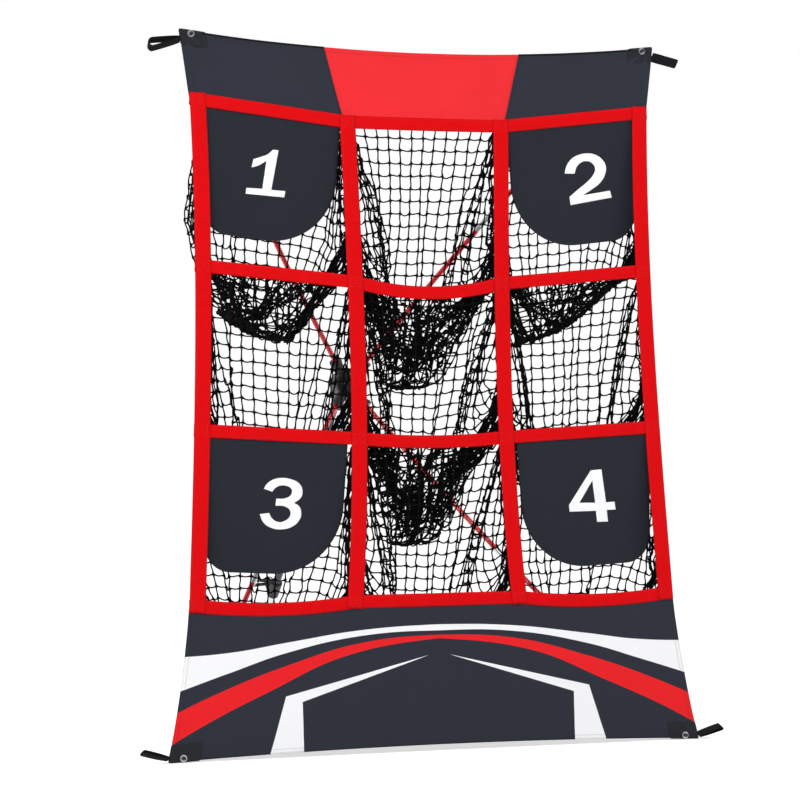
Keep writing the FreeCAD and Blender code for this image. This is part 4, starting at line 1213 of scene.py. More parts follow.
def pull_loop(level, side):
    opening = LOOP_OPEN[level, side]
    root, end = loop_ends(level, opening)
    flat = drop_line(root, end, opening - LOOP_T / 2)
    axis = Vector((side * (end - root)[0], 0.0, (end - root)[1])).normalized()
    roll = Matrix.Rotation(math.radians(LOOP_ROLL[level, side]), 3, axis)
    hub = Vector((side * root[0], 0.0, root[1]))
    places = []
    for x, z in flat:
        away = Vector((side * x, 0.0, z)) - hub
        share = min(1.0, away.length / ROLL_OVER)
        places.append(tuple(hub + away.lerp(roll @ away, share)))
    line = on_panel(places)
    width_way = on_panel(tuple(roll @ Vector((0, 1, 0)))) - on_panel((0, 0, 0))
    heading = unit(np.gradient(line, axis=0))
    thick_way = unit(np.cross(heading, width_way))
    loop = strap("pull_loop_strap_" + corner_name(level, side), line,
                 np.cross(thick_way, heading), thick_way, LOOP_W, LOOP_T, black_webbing)
    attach(loop, "frame")
    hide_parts("pull_loop_" + corner_name(level, side))


for level, side in CORNERS:
    pull_loop(level, side)
print("pull loops made")

# %% [markdown]
# The netting is made of knots and strings. A string can't stretch, but it goes slack at once,
# and a net has no stiffness of its own, so a few lines of number work hang it well: the knots
# fall a little, each string that has become too long pulls its two knots together again, and
# this is repeated until the net rests. Blender's cloth would treat the holes as faces. The
# net is about 2.4 times as wide as its opening and 1.9 to 3.7 times as high, and its edge is
# sewn to the webs round it. Along the top the middle knots are sewn at their own pitch and
# the others are bunched in the corners. Down the sides the upper knots keep their pitch and
# the rest are gathered. So the middle hangs smooth, folds run down from the corners, and the
# bag crumples below. Balls have drawn the bags of the upper two rows down, each at one place,
# where a few knots are held. The knots are kept inside the space that the bag's solid holds in
# the model, and out of the swing of the flaps.

# %% Sizes of the net bags
MESH = 0.0285
NET_FRONT = 0.0052
SIDE_INSET = 0.004
OUTER_INSET = 0.0005
ROOF_DROP = 0.002
FLOOR_RISE = 0.007
CELLS_ACROSS = 30
CELLS_DOWN = {"top": 36, "middle": 37, "bottom": 25}
CENTRE_EXTRA_CELLS = {"top": 7, "middle": 7, "bottom": 1}
CORNER_KNOTS = 9
SEWN_SHARE = 0.62
SEWN_EASE = 0.97
BUNCH_SPREAD = 0.06
ROWS = list(CELLS_DOWN)
COLUMNS = ("left", "centre", "right")
BACK_DEPTH = {"top": 0.205, "middle": 0.205, "bottom": 0.180}
SIDE_SAG = {"top": 0.140, "middle": 0.135, "bottom": 0.058}
CENTRE_SAG = {"top": 0.215, "middle": 0.235, "bottom": 0.058}
ROOFS = {
    "top_side": ((0.0, 0.120, 0.205), (0.0, -0.140, -0.262)),
    "top_centre": ((0.0, 0.075, 0.205), (0.0, -0.115, -0.315)),
    "lower": ((0.0, 0.075, 0.180, 0.205), (0.0, -0.150, -0.290, -0.335)),
}
BELLY_NARROWING = ((0.15, 0.5, 1.0), (1.0, 0.84, 0.38))
# A bag's floor is level up to the first depth and has fallen by BEND_FALL at the second. It is
# lowest farther behind, by BELLY_LENGTH of the sag
BELLY_START = 0.012
BELLY_BEND = 0.055
BEND_FALL = 0.05
BELLY_LENGTH = 0.4
# Distance from the middle at which a bag's height is taken, for each column
BAG_MIDDLE = (0.36, 0.09, 0.36)
FLAP_SWEEP = {0: 35.8, 2: 24.0}
FLAP_REACH = {0: 0.312, 2: 0.332}
FLAP_OF_BAG = {(0, 0): 1, (0, 2): 2, (2, 0): 3, (2, 2): 4}
SWING_ROOM = 0.0055
SIDE_ROOM = 0.0030
# Where each bag is drawn down to (across, behind, along), and which row of knots lies there
LOW_PLACES = {
    (0, 0): ((-0.27, 0.150, 0.962), 19),
    (0, 1): ((0.0, 0.100, 0.856), 22),
    (0, 2): ((0.27, 0.150, 0.962), 19),
    (1, 0): ((-0.28, 0.130, 0.596), 19),
    (1, 1): ((0.0, 0.100, 0.488), 22),
    (1, 2): ((0.28, 0.130, 0.596), 19),
}
HELD_PITCH = 0.021
HELD_RISE = (0.0055, 0.006)
HELD_TILT = -0.004
HELD_DEPTH = 0.020
BELLY_ROUND = 2.2


def bag_frame(row, column):
    """The opening's level lines and its two sides, as functions of x and of height."""
    sides = {
        0: (lambda z: -outer_line(z) + OUTER_INSET, lambda z: -inner_line(z) - SIDE_INSET),
        1: (lambda z: -inner_line(z) + SIDE_INSET, lambda z: inner_line(z) - SIDE_INSET),
        2: (lambda z: inner_line(z) + SIDE_INSET, lambda z: outer_line(z) - OUTER_INSET),
    }[column]
    top = lambda x: cross_height(row, x) - ROOF_DROP
    foot = lambda x: cross_height(row + 1, x) + FLOOR_RISE
    return sides, top, foot


def gathered(count, bunch):
    """Shares along an edge for its knots, with the first and last bunched in the corners."""
    k = np.arange(count, dtype=float)
    middle = (k - bunch) / max(1.0, count - 1 - 2 * bunch)
    return np.clip(middle, 0.0, 1.0) * (1 - BUNCH_SPREAD) + BUNCH_SPREAD * k / (count - 1)


def sewn_rows(count, height):
    """Shares down a side for its knots: at their own pitch first, the rest gathered below."""
    k = np.arange(count, dtype=float)
    sewn = int(SEWN_SHARE * height / MESH)
    edge = sewn * MESH * SEWN_EASE / height
    lower = edge + (1.0 - edge) * (k - sewn) / (count - 1 - sewn)
    return np.where(k <= sewn, k * edge / sewn, lower)


START_DEPTH_SHARE = 0.8
EDGE_KNOTS = 3.0


def bag_start(row, column, across, down, limits):
    """Where the edge knots are sewn, and where the others start: down behind, then forward."""
    (left, right), top, foot = bag_frame(row, column)
    top_share = gathered(across + 1, CORNER_KNOTS)
    foot_share = gathered(across + 1, 1)
    side_share = sewn_rows(down + 1, limits["top"] - limits["foot"])
    deep = limits["back"] * START_DEPTH_SHARE
    turn = math.hypot(limits["top"] - limits["floor"], deep) / MESH
    points = np.zeros((down + 1, across + 1, 3))
    for i, j in np.ndindex(down + 1, across + 1):
        u = top_share[j] + (foot_share[j] - top_share[j]) * i / down
        x = float(left(limits["foot"])) * (1 - u) + float(right(limits["foot"])) * u
        z = float(top(x)) * (1 - side_share[i]) + float(foot(x)) * side_share[i]
        x = float(left(z)) * (1 - u) + float(right(z)) * u
        share = i / turn if i < turn else (down - i) / (down - turn)
        end = float(top(x)) if i < turn else float(foot(x))
        hung = np.array((x, deep * share, end + (limits["floor"] - end) * share))
        near = min(1.0, j / EDGE_KNOTS, (across - j) / EDGE_KNOTS)
        inward = 0.0 if i in (0, down) else near
        points[i, j] = np.array((x, NET_FRONT, z)) * (1 - inward) + hung * inward
    return points


def bag_limits(row, column):
    """Where the bag may hang: how far back, low and to the sides, and under what roof."""
    (left, right), _, _ = bag_frame(row, column)
    top_z = float(cross_height(row, BAG_MIDDLE[column]))
    foot_z = float(cross_height(row + 1, BAG_MIDDLE[column]))
    sag = (CENTRE_SAG if column == 1 else SIDE_SAG)[ROWS[row]]
    middle = (top_z + foot_z) / 2
    return {
        "back": BACK_DEPTH[ROWS[row]],
        "floor": foot_z - sag,
        "foot": foot_z,
        "sag": sag,
        "top": top_z,
        "x": (float(left(middle)), float(right(middle))),
        "roof": ROOFS["lower" if row else "top_centre" if column == 1 else "top_side"],
        "flap": flap_shapes.get(FLAP_OF_BAG.get((row, column))),
        "sweep": FLAP_SWEEP.get(row),
        "low_x": LOW_PLACES[row, column][0][0] if row < 2 else 0.0,
        "round": BELLY_ROUND if row < 2 else 0.0,
        "reach": FLAP_REACH.get(row),
    }


def hinge_height(shape, x):
    """Height of a flap's seam over a place across the panel."""
    return np.interp(np.abs(x), (shape.x_in, shape.x_out), (shape.top_in, shape.top_out))


def clear_flap(points, limits):
    """Moves knots out of the space that the flap swings through, by the shortest way."""
    shape = limits["flap"]
    x, depth = points[..., 0], points[..., 1]
    away, side = np.abs(x), np.sign(x)
    below = np.maximum(hinge_height(shape, x) - points[..., 2], 0.0)
    slope = below * math.tan(math.radians(limits["sweep"]))
    arc = np.sqrt(np.maximum(limits["reach"] ** 2 - below**2, 0.0))
    lack = np.minimum(slope, arc) + SWING_ROOM - depth
    near, far = shape.x_in - SIDE_ROOM, shape.x_out + SIDE_ROOM
    inside = (lack > 0.0) & (away > near) & (away < far)
    outward = inside & (far - away < lack) & (far - away < away - near)
    inward = inside & ~outward & (away - near < lack)
    back = inside & ~outward & ~inward
    x[outward] = (side * far)[outward]
    x[inward] = (side * near)[inward]
    depth[back] += lack[back]


def keep_inside(points, limits):
    """Moves knots that have left the bag's space back to its edge."""
    depth = points[..., 1]
    top = limits["top"]
    if limits["flap"]:
        clear_flap(points, limits)
        top = hinge_height(limits["flap"], points[..., 0]) + FLAP_SEAM_GAP
    np.clip(depth, NET_FRONT, limits["back"], out=depth)
    sag = limits["sag"]
    belly = np.interp(depth, (0.0, BELLY_START, BELLY_BEND, BELLY_BEND + BELLY_LENGTH * sag),
                      (0.0, 0.0, -min(BEND_FALL, sag / 2), -sag))
    rounding = limits["round"] * (points[..., 0] - limits["low_x"]) ** 2
    floor = limits["foot"] + belly + rounding * (belly / -sag)
    np.maximum(points[..., 2], floor, out=points[..., 2])
    roof = top + np.interp(depth, *limits["roof"])
    np.minimum(points[..., 2], np.maximum(roof, floor + 0.01), out=points[..., 2])
    low, high = limits["x"]
    share = np.interp((limits["foot"] - points[..., 2]) / sag, *BELLY_NARROWING)
    middle, reach = (low + high) / 2, (high - low) / 2 * share
    np.clip(points[..., 0], middle - reach, middle + reach, out=points[..., 0])


def tighten(points, free, axis, first):
    """Draws the knots of every other string together if too long, or apart if too short."""
    if axis == 0:
        a, b = points[first:-1:2], points[first + 1::2]
        wa, wb = free[first:-1:2], free[first + 1::2]
    else:
        a, b = points[:, first:-1:2], points[:, first + 1::2]
        wa, wb = free[:, first:-1:2], free[:, first + 1::2]
    gap = b - a
    length = np.sqrt((gap * gap).sum(axis=-1, keepdims=True)) + 1e-9
    wrong = np.maximum(length - MESH, 0.0) + np.minimum(length - KNOT_GAP, 0.0)
    pull = wrong / length / np.maximum(wa + wb, 1.0)
    a += gap * pull * wa
    b -= gap * pull * wb


STEPS = 220
ROUNDS = 14
DRAG = 0.93
FALL = 0.0009
KNOT_GAP = 0.008
CRUMPLE = 0.017
PULL_BACK = 0.10
# How strongly the folds from the corners lean inwards, for each bag of the three rows
SETTLE_IN = ((0.30, 0.34, 0.24), (0.18, 0.34, 0.30), (0.22, 0.26, 0.22))
SETTLE_COLUMN = 8.5
SETTLE_SPREAD = 4.2
UNEVEN = 0.50
BORDER_STEPS = 16
BORDER_DEPTH = 0.0058
BORDER_R = 0.0024


def hold_low(points, free, place, row):
    """Holds a few knots of three rows low, where balls have drawn the bag down."""
    low_x, high_x = points[0, 0, 0], points[0, -1, 0]
    middle = int(round((place[0] - low_x) / (high_x - low_x) * (points.shape[1] - 1)))
    for i in (-1, 0, 1):
        for j in (-2, -1, 0, 1, 2):
            rise = HELD_RISE[0] * j * j + HELD_RISE[1] * i * i + HELD_TILT * j
            points[row + i, middle + j] = (place[0] + j * HELD_PITCH,
                                           place[1] - i * HELD_DEPTH, place[2] + rise)
            free[row + i, middle + j] = 0.0


def hang(points, limits, settle_in, low, seed):
    """Lets the net fall until it rests. Its edge knots stay where they are sewn."""
    free = np.ones((*points.shape[:2], 1))
    free[[0, -1]] = 0.0
    free[:, [0, -1]] = 0.0
    if low is not None:
        hold_low(points, free, *low)
    pull = np.array([0.0, PULL_BACK + math.sin(LEAN), -math.cos(LEAN)])
    field = np.broadcast_to(pull, points.shape).copy()
    from_middle = np.arange(points.shape[1]) - (points.shape[1] - 1) / 2
    fold = np.exp(-((np.abs(from_middle) - SETTLE_COLUMN) / SETTLE_SPREAD) ** 2)
    field[..., 0] -= settle_in * np.sign(from_middle) * fold
    field += np.random.default_rng(seed).uniform(-1.0, 1.0, field.shape) * UNEVEN
    last = points.copy()
    for _ in range(STEPS):
        motion = (points - last) * DRAG + field * FALL
        last = points.copy()
        points += motion * free
        for _ in range(ROUNDS):
            for axis in (0, 1):
                for first in (0, 1):
                    tighten(points, free, axis, first)
        keep_inside(points[1:-1, 1:-1], limits)
    return points


def crumple(points, limits, seed):
    """Sets the knots between slack strings out of line, as a loose net lies."""
    tight = np.zeros(points.shape[:2])
    for axis in (0, 1):
        length = np.linalg.norm(np.diff(points, axis=axis), axis=-1) / MESH
        before = length[:-1, 1:-1] if axis == 0 else length[1:-1, :-1]
        after = length[1:, 1:-1] if axis == 0 else length[1:-1, 1:]
        tight[1:-1, 1:-1] += (before + after) / 4
    slack = np.clip(1.0 - tight[1:-1, 1:-1], 0.0, 0.7)[..., None]
    moves = np.random.default_rng(seed).uniform(-1.0, 1.0, (*slack.shape[:2], 3))
    points[1:-1, 1:-1] += moves * slack * CRUMPLE
    keep_inside(points[1:-1, 1:-1], limits)


def border_line(row, column):
    """Points round the opening, where the cord that the net is sewn on lies."""
    (left, right), top, foot = bag_frame(row, column)
    share = np.linspace(0.0, 1.0, BORDER_STEPS, endpoint=False)
    corners = []
    for side, edge in ((left, top), (right, top), (right, foot), (left, foot)):
        z = float(cross_height(row if edge is top else row + 1, BAG_MIDDLE[column]))
        x = float(side(z))
        corners.append((x, float(edge(x))))
    points = []
    for k, edge in enumerate((top, None, foot, None)):
        (x0, z0), (x1, z1) = corners[k], corners[(k + 1) % 4]
        x, z = x0 + (x1 - x0) * share, z0 + (z1 - z0) * share
        if edge is None:
            x = (right if k == 1 else left)(z)
        else:
            z = edge(x)
        points.append(np.column_stack([x, np.full(len(x), BORDER_DEPTH), z]))
    return np.concatenate(points)


def border_cord(row, column):
    """The cord round the opening, made by the same tree as the strings but with no slack."""
    points = on_panel(border_line(row, column))
    ends = np.stack([points, np.roll(points, -1, axis=0)], axis=1).reshape(-1, 3)
    edges = [(k, k + 1) for k in range(0, len(ends), 2)]
    line = new_mesh("border", ends, [], edges=edges)
    return baked(line, twine_nodes, "border", String=0.0, Radius=BORDER_R, Knot=0.0, Wave=0.0,
                 Finish=twine)


def net_edges(rows, columns):
    """Strings across and down, without the ones along the sewn edge."""
    index = np.arange(rows * columns).reshape(rows, columns)
    across = [(a, b) for a, b in zip(index[1:-1, :-1].ravel(), index[1:-1, 1:].ravel())]
    down = [(a, b) for a, b in zip(index[:-1, 1:-1].ravel(), index[1:, 1:-1].ravel())]
    return [(int(a), int(b)) for a, b in across + down]


# %% [markdown]
# Geometry Nodes turn the net's strings into twine. Each string becomes a short curve of its
# own. A string whose knots are nearer than its length bows out by the slack that is left, in
# a direction of its own, and it is thicker at its ends, where the knots are.


# %% Twine from strings
TWINE_R = 0.0017
TWINE_SIDES = 5
STRING_SHARE = 1.05
STRING_POINTS = 5
BOW_SHARE = 0.45
KNOT_SHARPNESS = 8
# Between which directions a string's bow and its small waves lie
BOW_WAYS = ((-0.6, -0.2, -1.0), (0.6, 0.8, -0.1))
WAVE_WAYS = ((-1.0, -0.5, -1.0), (1.0, 0.5, 1.0))


class Tree(Nodes):
    """A node tree for a modifier, with named inputs for its sizes."""

    def __init__(self, name, inputs):
        self.group = bpy.data.node_groups.new(name, "GeometryNodeTree")
        self.nodes = self.group.nodes
        self.links = self.group.links
        face = self.group.interface
        face.new_socket("Geometry", in_out="INPUT", socket_type="NodeSocketGeometry")
        face.new_socket("Geometry", in_out="OUTPUT", socket_type="NodeSocketGeometry")
        self.ids = {}
        for label, (kind, value) in inputs.items():
            socket = face.new_socket(label, in_out="INPUT", socket_type="NodeSocket" + kind)
            if value is not None:
                socket.default_value = value
            self.ids[label] = socket.identifier
        self.start = self.nodes.new("NodeGroupInput")
        self.end = self.nodes.new("NodeGroupOutput")

    def size(self, label):
        return self.start.outputs[label]

    def add(self, kind, settings=None, **inputs):
        """A new node. Input names with spaces are written with underscores."""
        node = self.nodes.new(kind)
        for key, value in (settings or {}).items():
            setattr(node, key, value)
        for key, value in inputs.items():
            self.fill(node.inputs[key.replace("_", " ")], value)
        return node

    def scaled(self, vector, factor):
        node = self.add("ShaderNodeVectorMath", {"operation": "SCALE"}, Scale=factor)
        self.fill(node.inputs[0], vector)
        return node.outputs[0]

    def joined(self, a, b):
        node = self.add("ShaderNodeVectorMath", {"operation": "ADD"})
        self.fill(node.inputs[0], a)
        self.fill(node.inputs[1], b)
        return node.outputs[0]

    def finish(self, geometry):
        """Ends the tree: real geometry with the finish that the input names."""
        real = self.add("GeometryNodeRealizeInstances", Geometry=geometry)
        dressed = self.add("GeometryNodeSetMaterial", Geometry=real.outputs[0],
                           Material=self.size("Finish"))
        self.links.new(dressed.outputs[0], self.end.inputs[0])


def baked(obj, tree, name, **sizes):
    """Runs a tree on an object and returns its result as a plain mesh object."""
    modifier = obj.modifiers.new("tree", "NODES")
    modifier.node_group = tree.group
    for label, value in sizes.items():
        modifier[tree.ids[label.replace("_", " ")]] = value
    obj.update_tag()
    graph = bpy.context.evaluated_depsgraph_get()
    mesh = bpy.data.meshes.new_from_object(obj.evaluated_get(graph))
    mesh.name = name
    source = obj.data
    bpy.data.objects.remove(obj)
    if isinstance(source, bpy.types.Mesh):
        bpy.data.meshes.remove(source)
    else:
        bpy.data.curves.remove(source)
    return linked(name, mesh)


def random_vector(tree, low, high, curve_index, seed):
    node = tree.add("FunctionNodeRandomValue", {"data_type": "FLOAT_VECTOR"})
    node.inputs[0].default_value = low
    node.inputs[1].default_value = high
    tree.fill(node.inputs["ID"], curve_index)
    tree.fill(node.inputs["Seed"], seed)
    return node.outputs[0]


def twine_tree():
    """Bows and waves each string, and sweeps a ring along it that is wider at the knots."""
    tree = Tree("twine", {
        "String": ("Float", MESH * STRING_SHARE),
        "Radius": ("Float", TWINE_R),
        "Knot": ("Float", 0.7),
        "Slack": ("Float", 0.8),
        "Wave": ("Float", 0.0012),
        "Seed": ("Int", 1),
        "Finish": ("Material", None),
    })
    strings = tree.add("GeometryNodeMeshToCurve", Mesh=tree.start.outputs["Geometry"])
    curves = tree.add("GeometryNodeResampleCurve", {"mode": "COUNT"}, Curve=strings.outputs[0],
                      Count=STRING_POINTS)
    factor = tree.add("GeometryNodeSplineParameter").outputs["Factor"]
    chord = tree.add("GeometryNodeSplineLength").outputs["Length"]
    string = tree.size("String")
    spare = tree.sum("SUBTRACT", tree.sum("MULTIPLY", string, string),
                     tree.sum("MULTIPLY", chord, chord))
    bow = tree.sum("SQRT", tree.sum("MAXIMUM", spare, 0.0))
    bow = tree.sum("MULTIPLY", bow, tree.sum("MULTIPLY", tree.size("Slack"), BOW_SHARE))
    on_curve = tree.add("GeometryNodeFieldOnDomain", {"domain": "CURVE", "data_type": "INT"})
    tree.fill(on_curve.inputs[0], tree.add("GeometryNodeInputIndex").outputs[0])
    which = on_curve.outputs[0]
    arch = tree.sum("SINE", tree.sum("MULTIPLY", factor, math.pi))
    double = tree.sum("SINE", tree.sum("MULTIPLY", factor, 2 * math.pi))
    lean_to = random_vector(tree, *BOW_WAYS, which, tree.size("Seed"))
    wave_to = random_vector(tree, *WAVE_WAYS, which, tree.sum("ADD", tree.size("Seed"), 5))
    move = tree.joined(
        tree.scaled(lean_to, tree.sum("MULTIPLY", bow, arch)),
        tree.scaled(wave_to, tree.sum("MULTIPLY", tree.size("Wave"), double)),
    )
    moved = tree.add("GeometryNodeSetPosition", Geometry=curves.outputs[0], Offset=move)
    ends = tree.sum("POWER", tree.sum("ABSOLUTE", tree.sum(
        "COSINE", tree.sum("MULTIPLY", factor, math.pi))), KNOT_SHARPNESS)
    thick = tree.sum("ADD", 1.0, tree.sum("MULTIPLY", ends, tree.size("Knot")))
    radius = tree.sum("MULTIPLY", thick, tree.size("Radius"))
    sized = tree.add("GeometryNodeSetCurveRadius", Curve=moved.outputs[0], Radius=radius)
    ring = tree.add("GeometryNodeCurvePrimitiveCircle", {"mode": "RADIUS"},
                    Resolution=TWINE_SIDES, Radius=1.0)
    tube = tree.add("GeometryNodeCurveToMesh", Curve=sized.outputs[0],
                    Profile_Curve=ring.outputs[0], Fill_Caps=True,
                    Scale=tree.add("GeometryNodeInputRadius").outputs[0])
    tree.finish(tube.outputs[0])
    return tree


twine_nodes = twine_tree()


# %% Nine net bags
START_JITTER = 0.006


def net_bag(row, column):
    name = "%s_%s" % (ROWS[row], COLUMNS[column])
    across, down = CELLS_ACROSS, CELLS_DOWN[ROWS[row]]
    if column == 1:
        down += CENTRE_EXTRA_CELLS[ROWS[row]]
    limits = bag_limits(row, column)
    points = bag_start(row, column, across, down, limits)
    seed = 3 * row + column + 1
    jitter = np.random.default_rng(seed).uniform(-1.0, 1.0, (down - 1, across - 1, 3))
    points[1:-1, 1:-1] += jitter * START_JITTER
    hang(points, limits, SETTLE_IN[row][column], LOW_PLACES.get((row, column)), seed)
    crumple(points, limits, seed)
    net = new_mesh("net", on_panel(points).reshape(-1, 3), [],
                   edges=net_edges(*points.shape[:2]))
    strings = baked(net, twine_nodes, "strings", Seed=seed, Finish=twine)
    piece = merged([strings, border_cord(row, column)], "netting_" + name)
    piece.data.shade_smooth()
    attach(piece, "frame")
    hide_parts("net_bag_" + name)
    print("bag", name, "deepest", round(float(points[..., 1].max()), 3),
          "lowest", round(float(points[..., 2].min()), 3),
          "triangles", sum(len(p.vertices) - 2 for p in piece.data.polygons))
    return piece, (across * MESH, down * MESH)


for row in range(3):
    for column in range(3):
        bag, flat_size = net_bag(row, column)

# %% [markdown]
# Every seam shows its thread. A seam is a line of points on the front of a piece, and one
# tree sews all the lines of a piece at once: each line is cut at the stitches' pitch, and at
# each cut a small rounded stitch lies along the line, half sunk in the cloth.

# %% Stitches
STITCH_PITCH = 0.0050
STITCH_HALF = 0.0018
THREAD_R = 0.00045
SUNK = 0.00015


def stitch_tree():
    tree = Tree("stitches", {
        "Pitch": ("Float", STITCH_PITCH),
        "Half Length": ("Float", STITCH_HALF),
        "Thread": ("Float", THREAD_R),
        "Finish": ("Material", None),
    })
    lines = tree.add("GeometryNodeMeshToCurve", Mesh=tree.start.outputs["Geometry"])
    cuts = tree.add("GeometryNodeResampleCurve", {"mode": "LENGTH"}, Curve=lines.outputs[0],
                    Length=tree.size("Pitch"))
    heading = tree.add("GeometryNodeInputTangent").outputs[0]
    along = tree.add("FunctionNodeAlignRotationToVector", {"axis": "Z"}, Vector=heading)
    grain = tree.add("GeometryNodeMeshIcoSphere", Radius=1.0, Subdivisions=1)
    size = tree.add("ShaderNodeCombineXYZ", X=tree.size("Thread"), Y=tree.size("Thread"),
                    Z=tree.size("Half Length"))
    placed = tree.add("GeometryNodeInstanceOnPoints", Points=cuts.outputs[0],
                      Instance=grain.outputs[0], Rotation=along.outputs[0],
                      Scale=size.outputs[0])
    tree.finish(placed.outputs[0])
    return tree


stitch_nodes = stitch_tree()


def sewn(name, lines, thread, body, slot):
    """One piece of sewing: stitches along every line, on the body that the cloth rides on."""
    points = []
    edges = []
    for line in lines:
        first = len(points)
        points.extend(tuple(p) for p in line)
        edges.extend((k, k + 1) for k in range(first, len(points) - 1))
    path = new_mesh(name, points, [], edges=edges)
    piece = baked(path, stitch_nodes, name, Finish=thread)
    piece.data.shade_smooth()
    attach(piece, body)
    print("sewing", name, "lines", len(lines), "faces", len(piece.data.polygons))
    return piece


# %% Seams of the webs
EDGE_SEAM = 0.0032
BOX_HALF = (0.0118, 0.0108)
SEAM_END = 0.004
BAY_CLEAR = 0.001
SEAM_STEP = 0.02


def flat_seam(x, z, front):
    """A seam on the webbing, from distances across and heights."""
    x, z = np.broadcast_arrays(np.asarray(x, float), np.asarray(z, float))
    return on_panel(np.column_stack([x, np.full(len(x), front + SUNK), z]))


def upright_seams():
    lines = []
    for _, fit, distances in UPRIGHTS:
        top = float(cross_height(0, distances[0])) + CROSS_WEB_W / 2 - SEAM_END
        foot = float(cross_height(3, distances[3])) - CROSS_WEB_W / 2 + SEAM_END
        z = steps_between(foot, top, SEAM_STEP)
        for side in (-1, 1):
            for edge in (-1, 1):
                x = side * fit(z) + edge * (UPRIGHT_WEB_W / 2 - EDGE_SEAM)
                lines.append(flat_seam(x, z, -2 * WEB_T))
    return lines


def cross_seams():
    """Two seams along each cross web, only in the bays between the uprights."""
    lines = []
    for level in range(len(LEVELS)):
        far, near = OUTER_X[level], INNER_X[level]
        clear = UPRIGHT_WEB_W / 2 + BAY_CLEAR
        bays = ((-far + clear, -near - clear), (-near + clear, near - clear),
                (near + clear, far - clear))
        for low_x, high_x in bays:
            x = steps_between(low_x, high_x, SEAM_STEP)
            for edge in (-1, 1):
                z = cross_height(level, x) + edge * (CROSS_WEB_W / 2 - EDGE_SEAM)
                lines.append(flat_seam(x, z, -WEB_T))
    return lines


def box_seams():
    """A box with a cross in it at each place where an upright passes over a cross web."""
    lines = []
    wide, high = BOX_HALF
    box = np.array([(-1, -1), (1, -1), (1, 1), (-1, 1), (-1, -1)]) * (wide, high)
    cross = [np.array(line) * (wide, high) for line in (((-1, -1), (1, 1)), ((-1, 1), (1, -1)))]
    for level in range(len(LEVELS)):
        for distance in (OUTER_X[level], INNER_X[level]):
            for side in (-1, 1):
                middle = np.array((side * distance, float(cross_height(level, distance))))
                for shape in (box, *cross):
                    place = middle + shape
                    lines.append(flat_seam(place[:, 0], place[:, 1], -2 * WEB_T))
    return lines


sewn("web_stitches", upright_seams() + cross_seams() + box_seams(), red_thread, "frame",
     "red_webbing")

# %% Seams of the bands, patches and flaps
HEM = 0.010
# How far from the corners the hems of the top and of the bottom band stop
HEM_ENDS = {"top": 0.07, "top_side": 0.045, "foot": 0.08, "foot_side": 0.045}
HEM_STEP = 0.01
SIDE_HEM = (0.025, 0.017)
JOINT_SEAM = 0.004
PATCH_SEAM = 0.0045
FLAP_SEAM = 0.014
SEAM_TOP = 0.02
SEAM_FOOT_EASE = 0.9
BINDING_W = 0.005
BINDING_T = 0.0006
BINDING_RISE = 0.0008
BINDING_END = 0.055


def band_seam(x, z, web_height, seed, corner, front=0.0):
    depth = [band_depth(float(a), float(b), web_height, seed, corner) for a, b in zip(x, z)]
    return on_panel(np.column_stack([x, np.array(depth) + front, z]))


def top_seam(x, z, front=-SUNK):
    return band_seam(x, z, top_web_height, TOP_SEED, TOP_CORNER, front)


def bottom_seam(x, z):
    return band_seam(x, z, base_web_height, BOTTOM_SEED, BOTTOM_CORNER, -SUNK)


def top_seams():
    """The hem under the top edge, the two side hems and the two joints with the red cloth."""
    end = TOP_CORNER[0] - HEM_ENDS["top"]
    x = steps_between(-end, end, HEM_STEP)
    lines = [top_seam(x, top_edge(x) - HEM)]
    z = steps_between(CROSS_WEBS["top"][0] + CROSS_WEB_W / 2,
                      TOP_CORNER[1] - HEM_ENDS["top_side"], HEM_STEP)
    share = (z - z[0]) / (z[-1] - z[0])
    side_x = top_side(z) - (SIDE_HEM[1] + (SIDE_HEM[0] - SIDE_HEM[1]) * share)
    down = np.linspace(0.0, 1.0, 24)
    for side in (-1, 1):
        lines.append(top_seam(side * side_x, z))
        joint_x = side * (RED_TOP_X + (RED_FOOT_X - RED_TOP_X) * down + JOINT_SEAM)
        upper = top_edge(RED_TOP_X) - HEM
        lower = float(cross_height(0, RED_FOOT_X)) + CROSS_WEB_W / 2
        lines.append(top_seam(joint_x, upper + (lower - upper) * down))
    return lines


def bottom_seams():
    """The hem along both sides and the lower edge."""
    z = steps_between(BOTTOM_CORNER[1] + HEM_ENDS["foot_side"],
                      BASE_WEB_MIDDLE - CROSS_WEB_W / 2, HEM_STEP)
    lines = [bottom_seam(side * (bottom_side(z) - HEM), z) for side in (-1, 1)]
    end = BOTTOM_CORNER[0] - HEM_ENDS["foot"]
    x = steps_between(-end, end, HEM_STEP)
    lines.append(bottom_seam(x, bottom_edge(x) + HEM))
    return lines


def patch_seams():
    """A line inside each patch's edge."""
    lines = []
    for level, side in CORNERS:
        outline = shrunk(patch_outline(level), PATCH_SEAM)
        outline = np.concatenate([outline, outline[:1]])
        lines.append(flat_seam(side * outline[:, 0], outline[:, 1], -PATCH_T))
    return lines


def flap_seams(shape):
    """A line along both sides and round the foot, a little inside the flap's edge."""
    down = crowded(np.linspace(0.0, 1.0, 40))
    down = SEAM_TOP + down * (1.0 - FLAP_SEAM / SEAM_FOOT_EASE - SEAM_TOP)
    round_way = [(FLAP_SEAM, d) for d in down]
    round_way += [(a, down[-1]) for a in np.linspace(FLAP_SEAM, 1.0 - FLAP_SEAM, 16)[1:-1]]
    round_way += [(1.0 - FLAP_SEAM, d) for d in down[::-1]]
    return [np.array([shape.place(*shape.flat(a, d), -SUNK) for a, d in round_way])]


